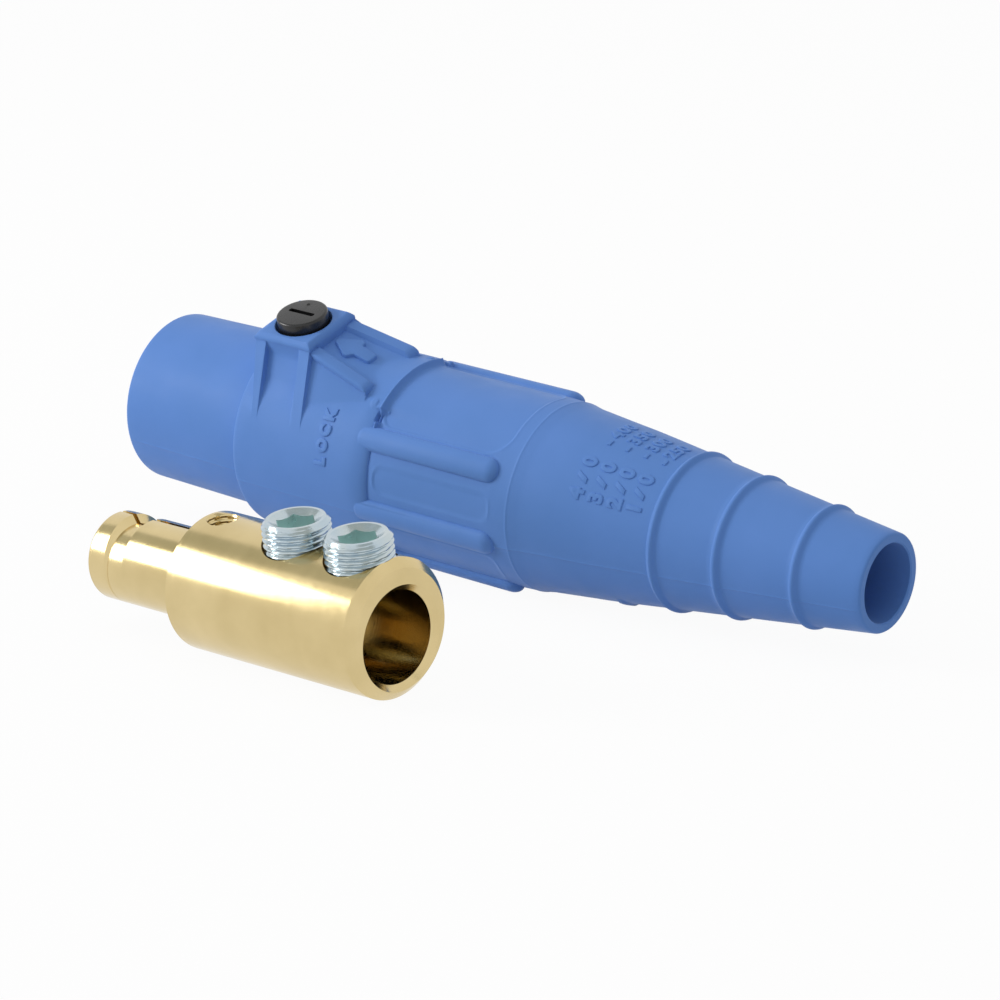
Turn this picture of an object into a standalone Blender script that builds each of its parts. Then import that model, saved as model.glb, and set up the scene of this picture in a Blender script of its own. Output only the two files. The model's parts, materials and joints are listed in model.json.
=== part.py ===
"""Cam-lock plug, laid out unassembled: rubber sleeve, retaining screw, brass contact, set screws.

The sleeve lies along +X with its mating mouth at the low end and its cable end at the high end.
The brass contact lies beside it, on the -Y side, with its pin pointing the other way.
Both stand on z = 0 with the origin under the middle of their common box. Units are metres, +Z up.
"""
import math

import bmesh
import bpy
from mathutils import Matrix, Vector

MM = 0.001

# How the two parts lie
SLEEVE_TILT = math.radians(3.0)       # cable end down
SLEEVE_ROLL = math.radians(19.0)      # boss leans toward -Y
CONTACT_YAW = math.radians(-4.2)      # contact against the sleeve, seen from above
CONTACT_ROLL = math.radians(8.0)      # set screws lean toward -Y
CONTACT_FACE_X = 114.1 * MM           # wire face, measured from the sleeve's mouth along the floor
CONTACT_ASIDE = 69.3 * MM             # wire face, measured sideways from the sleeve's axis

# Fits
CLEARANCE = 0.3 * MM                  # between pieces that touch
ROUND_SEGMENTS = 64
SMALL_SEGMENTS = 32

# Brass contact, stations from the wire face toward the pin
BODY_RADIUS = 12.6 * MM
BODY_LENGTH = 46.0 * MM
BODY_CHAMFER = 1.6 * MM
SHOULDER_CHAMFER = 0.5 * MM
PIN_RADIUS = 8.17 * MM
PIN_LENGTH = 24.9 * MM
PIN_TIP_ROUND = 1.2 * MM
WIRE_BORE_RADIUS = 8.38 * MM
WIRE_BORE_DEPTH = 31.0 * MM
WIRE_BORE_OFFSET = 1.5 * MM           # away from the set screws, which thickens their wall
COUNTERSINK = 1.1 * MM
DRILL_POINT_SLOPE = 0.6
CAM_HEAD_LENGTH = 1.9 * MM            # rim of the head in front of its slanted back
CAM_BACK_SLANT = 1.9 * MM
CAM_GROOVE_WIDTH = 6.2 * MM
CAM_GROOVE_DEPTH = 1.7 * MM
CAM_GROOVE_SIDE = math.radians(35.0)  # where the groove is deepest, from the slit toward -Y
CAM_GROOVE_END = math.radians(165.0)
SLIT_WIDTH = 0.9 * MM
SLIT_LENGTH = 21.8 * MM
SLIT_DEPTH = 10.0 * MM
SLIT_TURN = math.radians(-10.0)       # slit against the set screws
TAPPED_HOLE_TO_SHOULDER = 4.15 * MM
TAPPED_HOLE_DEPTH = 8.5 * MM

# Set screws
SET_SCREW_RADIUS = 6.2 * MM
SET_SCREW_LENGTH = 9.5 * MM
SET_SCREW_CHAMFER = 1.0 * MM
SET_SCREW_TIP_CHAMFER = 1.0 * MM
SET_SCREW_SOCKET_FLATS = 6.55 * MM
SET_SCREW_SOCKET_DEPTH = 4.6 * MM
SET_SCREW_FACE_DISTANCE = 7.95 * MM    # front screw's axis from the wire face
SET_SCREW_PITCH = 15.05 * MM           # front screw's axis to the rear one's

# Retaining screw
RETAINING_HEAD_RADIUS = 4.9 * MM
RETAINING_HEAD_HEIGHT = 4.3 * MM
RETAINING_HEAD_PROUD = 1.85 * MM      # above the boss plate
RETAINING_HEAD_EDGE = 0.4 * MM
RETAINING_SHANK_RADIUS = 2.85 * MM
RETAINING_SLOT_LENGTH = 6.2 * MM
RETAINING_SLOT_WIDTH = 1.0 * MM
RETAINING_SLOT_DEPTH = 1.5 * MM
COUNTERBORE_PLAY = 0.65 * MM

# Sleeve outside, stations from the mouth toward the cable end
SLEEVE_LENGTH = 168.3 * MM
MOUTH_RADIUS = 16.5 * MM
MOUTH_ROUND = 1.3 * MM
NOSE_RADIUS = 17.1 * MM               # where the nose meets the collar
COLLAR_START = 30.7 * MM
COLLAR_RADIUS = 19.5 * MM
COLLAR_LENGTH = 31.0 * MM
COLLAR_EDGE = 0.8 * MM
COLLAR_SHOULDER_ROUND = 1.1 * MM
GRIP_RADIUS = 18.3 * MM               # floor of the grip between its ribs
GRIP_LENGTH = 35.6 * MM
GRIP_END_RING_HEIGHT = 0.2 * MM
GRIP_END_RING_WIDTH = 1.2 * MM
TAPER_START_RADIUS = 17.6 * MM
KNEE_DISTANCE = 14.6 * MM             # from the end of the grip
KNEE_RADIUS = 16.3 * MM
TAIL_RADIUS = 9.15 * MM
TAIL_EDGE = 0.4 * MM
CUT_RING_FIRST = 126.9 * MM           # cable-size cutting rings
CUT_RING_STEPS = (0.0, 12.9 * MM, 28.4 * MM)
CUT_RING_HEIGHT = 0.65 * MM
CUT_RING_HALF_WIDTH = 0.95 * MM

# Sleeve inside
NOSE_WALL = 2.7 * MM
NOSE_CAVITY_LIP = 1.6 * MM            # thickness of the stop lip in front of the seat
STOP_LIP_RADIUS = 12.2 * MM
CABLE_BORE_START_RADIUS = 11.2 * MM
TAIL_WALL = 1.82 * MM
MOUTH_INNER_ROUND = 0.5 * MM

# Grip ribs and panels
RIB_SPACING = math.radians(44.5)      # counted both ways from the rib opposite the boss
RIBS_A_SIDE = 3
RIB_HEIGHT = 1.75 * MM
RIB_HALF_WIDTH = 2.5 * MM
RIB_END_ROUND = 2.4 * MM
RIB_END_MARGIN = 2.1 * MM             # from the ribs to the end of the grip
PANEL_MARGIN = 3.6 * MM               # from the collar and from the end of the grip
PANEL_RIB_GAP = 0.6 * MM
PANEL_DEPTH = 0.35 * MM
PANEL_CORNER = 2.2 * MM
APRON_LENGTH = 2.0 * MM               # the collar's longer end between the two ribs next to the boss
APRON_RISE = 0.25 * MM
LABEL_CORNER = 5.0 * MM

# Boss for the retaining screw
BOSS_STATION = 38.4 * MM              # the screw's axis
BOSS_HEIGHT = 25.45 * MM              # top of the plate above the sleeve's axis
BOSS_PLATE_SIZE = 13.9 * MM
BOSS_PLATE_THICKNESS = 1.4 * MM
BOSS_PLATE_CHAMFER = 0.7 * MM
BOSS_PLATE_LIP = 0.2 * MM
GUSSET_WIDTH = 2.6 * MM
GUSSET_LEAN = 1.8 * MM                # foot behind head
GUSSET_FRONT_LEAN = 3.1 * MM
RECESS_DEPTH = 1.3 * MM               # between the gussets, behind their faces
RECESS_FOOT_TURN = math.radians(41.0)
RAMP_WIDTH = 2.5 * MM
RAMP_DROP = 2.15 * MM                 # start of the ramps under the plate's top
RAMP_SLOPE = 0.27
RAMP_LENGTH = 13.3 * MM
RAMP_CLOSING = 0.75 * MM              # nearer the middle at the far end
RAMP_EDGE = 0.4 * MM
RAMP_PROUD = 1.1 * MM                 # above the floor between them
SKIRT_START_TURN = math.radians(36.0)
SKIRT_END_TURN = math.radians(21.0)

# Worked out from the sizes above
RETAINING_HOLE_RADIUS = RETAINING_SHANK_RADIUS + CLEARANCE
COUNTERBORE_RADIUS = RETAINING_HEAD_RADIUS + COUNTERBORE_PLAY
COUNTERBORE_FLOOR = BOSS_HEIGHT + RETAINING_HEAD_PROUD - RETAINING_HEAD_HEIGHT - CLEARANCE
SEAT_RADIUS = BODY_RADIUS + CLEARANCE
SEAT_START = BOSS_STATION - TAPPED_HOLE_TO_SHOULDER - CLEARANCE
SEAT_END = SEAT_START + BODY_LENGTH + 2 * CLEARANCE
COLLAR_END = COLLAR_START + COLLAR_LENGTH
GRIP_END = COLLAR_END + GRIP_LENGTH
RIB_ANGLES = [math.pi + RIB_SPACING * k for k in range(-RIBS_A_SIDE, RIBS_A_SIDE + 1)]
LABEL_HALF_TURN = math.pi - RIB_SPACING * RIBS_A_SIDE
SET_SCREW_HOLE_RADIUS = SET_SCREW_RADIUS + CLEARANCE
SET_SCREW_TIP = WIRE_BORE_RADIUS - WIRE_BORE_OFFSET
CONTACT_LENGTH = BODY_LENGTH + PIN_LENGTH

# Colours
SLEEVE_BLUE = (0.115, 0.255, 0.565, 1.0)
SCREW_BLACK = (0.012, 0.012, 0.013, 1.0)
BRASS = (0.78, 0.60, 0.30, 1.0)
ZINC = (0.72, 0.75, 0.78, 1.0)


def clear_scene():
    for obj in list(bpy.data.objects):
        bpy.data.objects.remove(obj, do_unlink=True)


def add_material(obj, name, colour, roughness, metallic):
    material = bpy.data.materials.new(name)
    material.use_nodes = True
    shader = material.node_tree.nodes["Principled BSDF"]
    shader.inputs["Base Color"].default_value = colour
    shader.inputs["Roughness"].default_value = roughness
    shader.inputs["Metallic"].default_value = metallic
    obj.data.materials.clear()
    obj.data.materials.append(material)


def object_from_faces(name, points, faces):
    """A mesh object with its faces turned outward."""
    mesh = bpy.data.meshes.new(name)
    bm = bmesh.new()
    verts = [bm.verts.new(point) for point in points]
    for face in faces:
        bm.faces.new([verts[i] for i in face])
    bmesh.ops.recalc_face_normals(bm, faces=bm.faces)
    bm.to_mesh(mesh)
    bm.free()
    obj = bpy.data.objects.new(name, mesh)
    bpy.context.scene.collection.objects.link(obj)
    return obj


def around(x, radius, angle, middle=0.0):
    """A point about the X axis: angle 0 is +Z, and a positive angle goes toward -Y."""
    return Vector((x, -radius * math.sin(angle), middle + radius * math.cos(angle)))


def lathe(name, profile, segments=ROUND_SEGMENTS, flat_at=0.0, middle=0.0, closed=False):
    """Turn (station, radius) points about X; flat_at is the angle that gets the middle of a facet."""
    step = 2 * math.pi / segments
    points = []
    rings = []
    for x, radius in profile:
        count = 1 if radius == 0.0 else segments
        rings.append(range(len(points), len(points) + count))
        points += [around(x, radius, flat_at + (k + 0.5) * step, middle) for k in range(count)]
    faces = []
    pairs = list(zip(rings, rings[1:] + rings[:1] if closed else rings[1:]))
    for a, b in pairs:
        for k in range(segments):
            n = (k + 1) % segments
            if len(a) == 1:
                faces.append((a[0], b[k], b[n]))
            elif len(b) == 1:
                faces.append((a[k], a[n], b[0]))
            else:
                faces.append((a[k], a[n], b[n], b[k]))
    return object_from_faces(name, points, faces)


def loft(name, sections):
    """A solid through loops of equal length, closed at both ends."""
    size = len(sections[0])
    points = [point for section in sections for point in section]
    faces = [tuple(range(size)), tuple(range(len(points) - size, len(points)))]
    for row in range(len(sections) - 1):
        a, b = row * size, (row + 1) * size
        faces += [(a + k, a + (k + 1) % size, b + (k + 1) % size, b + k) for k in range(size)]
    return object_from_faces(name, points, faces)


def boolean(obj, tool, operation):
    """Join or cut obj with tool, which is used up."""
    modifier = obj.modifiers.new(operation.lower(), "BOOLEAN")
    modifier.operation = operation
    modifier.solver = "EXACT"
    modifier.object = tool
    graph = bpy.context.evaluated_depsgraph_get()
    result = bpy.data.meshes.new_from_object(obj.evaluated_get(graph))
    obj.modifiers.clear()
    old_mesh = obj.data
    obj.data = result
    result.name = old_mesh.name
    bpy.data.meshes.remove(old_mesh)
    bpy.data.objects.remove(tool, do_unlink=True)


def join(obj, tool):
    boolean(obj, tool, "UNION")


def cut(obj, tool):
    boolean(obj, tool, "DIFFERENCE")


def upright(obj, station, turn=0.0):
    """Stand a solid that was turned about X on the Z direction at a station, leaning by turn."""
    stand = Matrix.Rotation(turn, 4, "X") @ Matrix.Rotation(-math.pi / 2, 4, "Y")
    obj.data.transform(Matrix.Translation((station, 0.0, 0.0)) @ stand)
    return obj


def round_edge(x, radius, size, start, end, steps=3):
    """Points of a rounded edge: (x, radius) is its centre, angles run from the X axis."""
    return [(x + size * math.cos(start + (end - start) * k / steps),
             radius + size * math.sin(start + (end - start) * k / steps)) for k in range(steps + 1)]


def taper_radius(station):
    """Outer radius of the sleeve behind the grip."""
    knee = GRIP_END + KNEE_DISTANCE
    if station < knee:
        share = (station - GRIP_END) / KNEE_DISTANCE
        return TAPER_START_RADIUS + (KNEE_RADIUS - TAPER_START_RADIUS) * share
    share = (station - knee) / (SLEEVE_LENGTH - knee)
    return KNEE_RADIUS + (TAIL_RADIUS - KNEE_RADIUS) * share


def bump(station, radius_at, half_width, height, steps=4):
    """A half-round ring on a turned outline."""
    points = []
    for k in range(steps + 1):
        x = station - half_width * math.cos(math.pi * k / steps)
        points.append((x, radius_at(x) + height * math.sin(math.pi * k / steps)))
    return points


def sleeve_profile():
    """The closed outline of the sleeve's wall, outside from mouth to tail and back inside."""
    quarter = math.pi / 2
    outer = round_edge(MOUTH_ROUND, MOUTH_RADIUS - MOUTH_ROUND, MOUTH_ROUND, math.pi, quarter)
    outer += [(COLLAR_START, NOSE_RADIUS)]
    outer += round_edge(COLLAR_START + COLLAR_EDGE, COLLAR_RADIUS - COLLAR_EDGE, COLLAR_EDGE,
                        math.pi, quarter, 2)
    outer += round_edge(COLLAR_END - COLLAR_SHOULDER_ROUND, COLLAR_RADIUS - COLLAR_SHOULDER_ROUND,
                        COLLAR_SHOULDER_ROUND, quarter, 0.0)
    outer += [(COLLAR_END, GRIP_RADIUS)]
    outer += bump(GRIP_END - GRIP_END_RING_WIDTH / 2, lambda x: GRIP_RADIUS,
                  GRIP_END_RING_WIDTH / 2, GRIP_END_RING_HEIGHT)
    outer += [(GRIP_END + CLEARANCE, TAPER_START_RADIUS)]
    outer += [(GRIP_END + KNEE_DISTANCE, KNEE_RADIUS)]
    for step in CUT_RING_STEPS:
        outer += bump(CUT_RING_FIRST + step, taper_radius, CUT_RING_HALF_WIDTH, CUT_RING_HEIGHT)
    outer += [(SLEEVE_LENGTH - TAIL_EDGE, taper_radius(SLEEVE_LENGTH - TAIL_EDGE))]
    outer += [(SLEEVE_LENGTH, TAIL_RADIUS - TAIL_EDGE)]

    cavity = MOUTH_RADIUS - NOSE_WALL
    inner = [(SLEEVE_LENGTH, TAIL_RADIUS - TAIL_WALL)]
    inner += [(SEAT_END + SEAT_RADIUS - CABLE_BORE_START_RADIUS, CABLE_BORE_START_RADIUS)]
    inner += [(SEAT_END, SEAT_RADIUS), (SEAT_START, SEAT_RADIUS)]
    inner += [(SEAT_START, STOP_LIP_RADIUS), (SEAT_START - NOSE_CAVITY_LIP, STOP_LIP_RADIUS)]
    inner += [(SEAT_START - NOSE_CAVITY_LIP, cavity), (MOUTH_INNER_ROUND, cavity)]
    inner += [(0.0, cavity + MOUTH_INNER_ROUND)]
    return outer + inner


def wrapped_pad(name, start, end, half_angle, middle_angle, low, high, corner, steps=8):
    """A pad with round corners that follows the sleeve's round wall, from radius low to high."""
    corner = min(corner, 0.9 * half_angle * low)
    turn = corner / low
    angles = [-half_angle + turn * (1 - math.cos(math.pi / 2 * k / 3)) for k in range(4)]
    inside = half_angle - turn
    angles += [-inside + 2 * inside * k / steps for k in range(1, steps)]
    angles += [-a for a in reversed(angles[:4])]
    sections = []
    for angle in angles:
        past = max(0.0, abs(angle) - inside) / turn
        trim = corner * (1 - math.sqrt(max(0.0, 1 - past * past)))
        ends = (start + trim, end - trim)
        place = middle_angle + angle
        sections.append([around(ends[0], low, place), around(ends[1], low, place),
                         around(ends[1], high, place), around(ends[0], high, place)])
    return loft(name, sections)


def grip_rib(angle):
    """A round-topped rib along the grip with rounded ends, its root inside the wall."""
    root = GRIP_RADIUS - 2 * RIB_HEIGHT
    start = COLLAR_END - CLEARANCE
    end = GRIP_END - RIB_END_MARGIN
    sections = []
    quarter = [math.pi / 2 * k / 4 for k in range(5)]
    stations = [(start + RIB_END_ROUND * (1 - math.cos(q)), math.sin(q)) for q in quarter]
    stations += [(end - RIB_END_ROUND * (1 - math.cos(q)), math.sin(q)) for q in reversed(quarter)]
    for x, share in stations:
        height = RIB_HEIGHT * (0.25 + 0.75 * share)
        half = RIB_HALF_WIDTH * (0.55 + 0.45 * share)
        across = [half * math.cos(math.pi * k / 8) for k in range(9)]
        rise = [height * math.sin(math.pi * k / 8) for k in range(9)]
        outline = [(half, root)] + [(a, GRIP_RADIUS - CLEARANCE + r) for a, r in zip(across, rise)]
        outline += [(-half, root)]
        sections.append([Matrix.Rotation(angle, 3, "X") @ Vector((x, -a, h)) for a, h in outline])
    return loft("grip_rib", sections)


def on_collar(turn, depth=0.0):
    """Distance to the side and height of a point on the collar, at an angle from the boss."""
    radius = COLLAR_RADIUS - depth
    return (radius * math.sin(turn), radius * math.cos(turn))


def gusset_wall():
    """The line from under the plate's edge down to where it touches the collar."""
    corner = (BOSS_PLATE_SIZE / 2 - BOSS_PLATE_LIP, BOSS_HEIGHT - BOSS_PLATE_THICKNESS)
    touch = math.atan2(*corner) + math.acos(COLLAR_RADIUS / math.hypot(*corner))
    return corner, touch


def recess_point(share, depth):
    """A point behind the gussets' faces, share of the way down to the collar."""
    corner, touch = gusset_wall()
    foot = on_collar(touch)
    return (corner[0] + (foot[0] - corner[0]) * share - depth * math.sin(touch),
            corner[1] + (foot[1] - corner[1]) * share - depth * math.cos(touch))


def boss_slice(name, ends, sides):
    """A slice of the boss: each end has a station, its lean and the outline of one side."""
    sections = []
    for (station, lean), side in zip(ends, sides):
        top, foot = side[0][1], side[-1][1]
        outline = side + [on_collar(math.atan2(*side[-1]), COLLAR_EDGE)]
        outline += [(0.0, SEAT_RADIUS + COLLAR_EDGE)]
        outline += [(-across, height) for across, height in reversed(outline[:-1])]
        section = []
        for across, height in outline:
            drop = (top - height) / (top - foot)
            section.append(Vector((station + lean * drop, -across, height)))
        sections.append(section)
    return loft(name, sections)


def ramp(side):
    """A rib that falls from the boss plate to the collar and draws in a little on the way."""
    start = BOSS_STATION + BOSS_PLATE_SIZE / 2
    end = start + RAMP_LENGTH
    buried = COLLAR_RADIUS - RAMP_WIDTH
    stations = [(start - BOSS_PLATE_THICKNESS, 0.0), (end - RAMP_EDGE, 0.0), (end, RAMP_EDGE)]
    sections = []
    for x, lowered in stations:
        run = x - start
        outer = BOSS_PLATE_SIZE / 2 - BOSS_PLATE_LIP - RAMP_CLOSING * run / RAMP_LENGTH
        inner = outer - RAMP_WIDTH
        height = BOSS_HEIGHT - RAMP_DROP - RAMP_SLOPE * run - lowered
        outline = [(inner, buried), (inner, height - RAMP_EDGE), (inner + RAMP_EDGE, height),
                   (outer - RAMP_EDGE, height), (outer, height - RAMP_EDGE), (outer, buried)]
        sections.append([Vector((x, side * across, h)) for across, h in outline])
    return loft("ramp", sections)


def ramp_floor():
    """The slope between the ramps with the walls under them, down to the collar."""
    start = BOSS_STATION + BOSS_PLATE_SIZE / 2
    corner = BOSS_PLATE_SIZE / 2 - BOSS_PLATE_LIP - RAMP_WIDTH / 4
    high = BOSS_HEIGHT - RAMP_DROP - RAMP_PROUD
    ends = []
    sides = []
    for run, turn in ((-BOSS_PLATE_THICKNESS, SKIRT_START_TURN), (RAMP_LENGTH + RAMP_EDGE, SKIRT_END_TURN)):
        across = corner - RAMP_CLOSING * run / RAMP_LENGTH
        ends.append((start + run, 0.0))
        sides.append([(across, high - RAMP_SLOPE * run), on_collar(turn, CLEARANCE / 2)])
    return boss_slice("ramp_floor", ends, sides)


def make_sleeve(parent):
    sleeve = lathe("insulating_sleeve", sleeve_profile(), flat_at=math.pi - SLEEVE_ROLL, closed=True)

    # The collar's apron, and a label field between the two ribs next to the boss
    apron_half = LABEL_HALF_TURN - RIB_HALF_WIDTH / 3 / GRIP_RADIUS
    join(sleeve, wrapped_pad("apron", COLLAR_END - COLLAR_SHOULDER_ROUND, COLLAR_END + APRON_LENGTH,
                             apron_half, 0.0, GRIP_RADIUS - COLLAR_EDGE, COLLAR_RADIUS + APRON_RISE,
                             COLLAR_EDGE, 16))
    for angle in RIB_ANGLES:
        join(sleeve, grip_rib(angle))
    start, end = COLLAR_END + PANEL_MARGIN, GRIP_END - PANEL_MARGIN
    above = COLLAR_RADIUS + RIB_HEIGHT
    label_half = LABEL_HALF_TURN - (RIB_HALF_WIDTH + PANEL_RIB_GAP) / GRIP_RADIUS
    cut(sleeve, wrapped_pad("label", start, end, label_half, 0.0, GRIP_RADIUS - PANEL_DEPTH, above,
                            LABEL_CORNER, 12))

    # Shallow panels between the other ribs
    half = RIB_SPACING / 2 - (RIB_HALF_WIDTH + PANEL_RIB_GAP) / GRIP_RADIUS
    for angle in RIB_ANGLES[:-1]:
        cut(sleeve, wrapped_pad("panel", start, end, half, angle + RIB_SPACING / 2,
                                GRIP_RADIUS - PANEL_DEPTH, above, PANEL_CORNER, 4))

    # Boss: recessed middle, two leaning gussets, two ramps with a floor, and the plate
    half = BOSS_PLATE_SIZE / 2
    front, back = BOSS_STATION - half + BOSS_PLATE_LIP, BOSS_STATION + half - BOSS_PLATE_LIP
    corner, touch = gusset_wall()
    gusset = [corner, on_collar(touch)]
    high, middle = recess_point(0.1, RECESS_DEPTH), recess_point(0.45, RECESS_DEPTH)
    recess = [(high[0], corner[1]), high, middle, on_collar(RECESS_FOOT_TURN)]
    inset = GUSSET_WIDTH / 2
    join(sleeve, boss_slice("boss_middle", [(front + inset, GUSSET_LEAN), (back - inset, GUSSET_LEAN)],
                            [recess, recess]))
    levels = [(BOSS_HEIGHT - BOSS_PLATE_THICKNESS - BOSS_PLATE_LIP / 2, half),
              (BOSS_HEIGHT - BOSS_PLATE_CHAMFER, half), (BOSS_HEIGHT, half - BOSS_PLATE_CHAMFER)]
    plate = []
    for height, reach in levels:
        corners = [(-reach, -reach), (reach, -reach), (reach, reach), (-reach, reach)]
        plate.append([Vector((BOSS_STATION + x, y, height)) for x, y in corners])
    join(sleeve, loft("boss_plate", plate))
    join(sleeve, boss_slice("gusset_front", [(front, GUSSET_FRONT_LEAN), (front + GUSSET_WIDTH, GUSSET_LEAN)],
                            [gusset, gusset]))
    join(sleeve, boss_slice("gusset_back", [(back - GUSSET_WIDTH, GUSSET_LEAN), (back, GUSSET_LEAN)],
                            [gusset, gusset]))
    join(sleeve, ramp_floor())
    for side in (1, -1):
        join(sleeve, ramp(side))

    # Counterbored hole for the retaining screw
    past_top = BOSS_HEIGHT + RETAINING_HEAD_HEIGHT
    hole = [(SEAT_RADIUS - 2 * COLLAR_EDGE, 0.0), (SEAT_RADIUS - 2 * COLLAR_EDGE, RETAINING_HOLE_RADIUS),
            (COUNTERBORE_FLOOR, RETAINING_HOLE_RADIUS), (COUNTERBORE_FLOOR, COUNTERBORE_RADIUS),
            (past_top, COUNTERBORE_RADIUS), (past_top, 0.0)]
    cut(sleeve, upright(lathe("retaining_hole", hole, SMALL_SEGMENTS), BOSS_STATION))

    sleeve.parent = parent
    add_material(sleeve, "blue_rubber", SLEEVE_BLUE, 0.45, 0.0)
    return sleeve


def make_retaining_screw(parent):
    """The plastic screw in the boss; its own Z runs outward on the joint's axis."""
    top = RETAINING_HEAD_PROUD
    under = top - RETAINING_HEAD_HEIGHT
    tip = SEAT_RADIUS + CLEARANCE - BOSS_HEIGHT
    edge = RETAINING_HEAD_EDGE
    profile = [(tip, 0.0), (tip, RETAINING_SHANK_RADIUS - edge), (tip + edge, RETAINING_SHANK_RADIUS),
               (under, RETAINING_SHANK_RADIUS), (under, RETAINING_HEAD_RADIUS)]
    profile += round_edge(top - edge, RETAINING_HEAD_RADIUS - edge, edge, math.pi / 2, 0.0, 2)
    profile += [(top, 0.0)]
    screw = upright(lathe("retaining_screw", profile, SMALL_SEGMENTS), 0.0)
    half_length, half_width = RETAINING_SLOT_LENGTH / 2, RETAINING_SLOT_WIDTH / 2
    corners = [(-half_length, -half_width), (half_length, -half_width),
               (half_length, half_width), (-half_length, half_width)]
    levels = (top - RETAINING_SLOT_DEPTH, top + RETAINING_SLOT_DEPTH)
    cut(screw, loft("slot", [[Vector((x, y, h)) for x, y in corners] for h in levels]))
    screw.parent = parent
    screw.location = (BOSS_STATION, 0.0, BOSS_HEIGHT)
    add_material(screw, "black_nylon", SCREW_BLACK, 0.3, 0.0)
    return screw


def cam_groove():
    """The locking groove: deepest at one side, fading out round the pin, with a slanted front."""
    mouth = CONTACT_LENGTH - CAM_HEAD_LENGTH
    deep = CAM_GROOVE_DEPTH / 2
    outer = PIN_RADIUS + CAM_GROOVE_DEPTH
    steps = 16
    sections = []
    for x, share in ((mouth, 0.02), (mouth - CAM_BACK_SLANT, 1.0), (mouth - CAM_GROOVE_WIDTH, 1.0)):
        angles = [SLIT_TURN + (CAM_GROOVE_END - SLIT_TURN) * k / steps for k in range(steps + 1)]
        inner = []
        for angle in angles:
            depth = share * deep * (1 + math.cos(angle - SLIT_TURN - CAM_GROOVE_SIDE))
            inner.append(around(x, PIN_RADIUS - depth, -angle))
        sections.append([around(x, outer, -angle) for angle in reversed(angles)] + inner)
    return loft("cam_groove", sections)


def make_contact(parent):
    """The turned brass contact: wire barrel, shoulder and slit pin with its locking groove."""
    shoulder, tip = BODY_LENGTH, CONTACT_LENGTH
    profile = [(0.0, 0.0), (0.0, BODY_RADIUS - BODY_CHAMFER), (BODY_CHAMFER, BODY_RADIUS),
               (shoulder - SHOULDER_CHAMFER, BODY_RADIUS), (shoulder, BODY_RADIUS - SHOULDER_CHAMFER),
               (shoulder, PIN_RADIUS)]
    profile += round_edge(tip - PIN_TIP_ROUND, PIN_RADIUS - PIN_TIP_ROUND, PIN_TIP_ROUND,
                          math.pi / 2, 0.0)
    profile += [(tip, 0.0)]
    contact = lathe("brass_contact", profile, flat_at=math.pi + CONTACT_ROLL)

    # Wire bore with its countersink and drill point, below the middle
    drill_point = WIRE_BORE_DEPTH + WIRE_BORE_RADIUS * DRILL_POINT_SLOPE
    sink = WIRE_BORE_RADIUS + 2 * COUNTERSINK
    bore = [(-COUNTERSINK, 0.0), (-COUNTERSINK, sink), (COUNTERSINK, WIRE_BORE_RADIUS),
            (WIRE_BORE_DEPTH, WIRE_BORE_RADIUS), (drill_point, 0.0)]
    cut(contact, lathe("wire_bore", bore, middle=-WIRE_BORE_OFFSET))

    # Cross holes for the two set screws and for the retaining screw
    past_top = BODY_RADIUS + COUNTERSINK
    for station in set_screw_stations():
        hole = [(0.0, 0.0), (0.0, SET_SCREW_HOLE_RADIUS),
                (past_top, SET_SCREW_HOLE_RADIUS), (past_top, 0.0)]
        cut(contact, upright(lathe("set_screw_hole", hole, SMALL_SEGMENTS), station))
    floor = BODY_RADIUS - TAPPED_HOLE_DEPTH
    point = floor - RETAINING_HOLE_RADIUS * DRILL_POINT_SLOPE
    tapped = [(point, 0.0), (floor, RETAINING_HOLE_RADIUS),
              (past_top, RETAINING_HOLE_RADIUS), (past_top, 0.0)]
    cut(contact, upright(lathe("tapped_hole", tapped, SMALL_SEGMENTS),
                         BODY_LENGTH - TAPPED_HOLE_TO_SHOULDER))

    # Pin: locking groove and lengthwise slit
    cut(contact, cam_groove())
    half = SLIT_WIDTH / 2
    low, high = PIN_RADIUS - SLIT_DEPTH, PIN_RADIUS + SLIT_WIDTH
    corners = [(-half, low), (half, low), (half, high), (-half, high)]
    slit = loft("slit", [[Vector((x, y, h)) for y, h in corners]
                         for x in (tip - SLIT_LENGTH, tip + SLIT_WIDTH)])
    slit.data.transform(Matrix.Rotation(-SLIT_TURN, 4, "X"))
    cut(contact, slit)

    contact.parent = parent
    add_material(contact, "turned_brass", BRASS, 0.22, 1.0)
    return contact


def set_screw_stations():
    return (SET_SCREW_FACE_DISTANCE, SET_SCREW_FACE_DISTANCE + SET_SCREW_PITCH)


def make_set_screw(name, station, parent):
    """A hollow-hex set screw; its own Z runs outward on the joint's axis."""
    length = SET_SCREW_LENGTH
    profile = [(0.0, 0.0), (0.0, SET_SCREW_RADIUS - SET_SCREW_TIP_CHAMFER),
               (SET_SCREW_TIP_CHAMFER, SET_SCREW_RADIUS), (length - SET_SCREW_CHAMFER, SET_SCREW_RADIUS),
               (length, SET_SCREW_RADIUS - SET_SCREW_CHAMFER), (length, 0.0)]
    screw = upright(lathe(name, profile, SMALL_SEGMENTS), 0.0)
    corner = SET_SCREW_SOCKET_FLATS / math.sqrt(3)
    hexagon = [(corner * math.cos(math.pi * k / 3), corner * math.sin(math.pi * k / 3)) for k in range(6)]
    levels = (length - SET_SCREW_SOCKET_DEPTH, length + SET_SCREW_CHAMFER)
    cut(screw, loft("socket", [[Vector((x, y, h)) for x, y in hexagon] for h in levels]))
    screw.parent = parent
    screw.location = (station, 0.0, SET_SCREW_TIP)
    add_material(screw, "zinc_plated_steel", ZINC, 0.25, 1.0)
    return screw


def add_empty(name, parent=None):
    empty = bpy.data.objects.new(name, None)
    bpy.context.scene.collection.objects.link(empty)
    empty.parent = parent
    return empty


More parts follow.
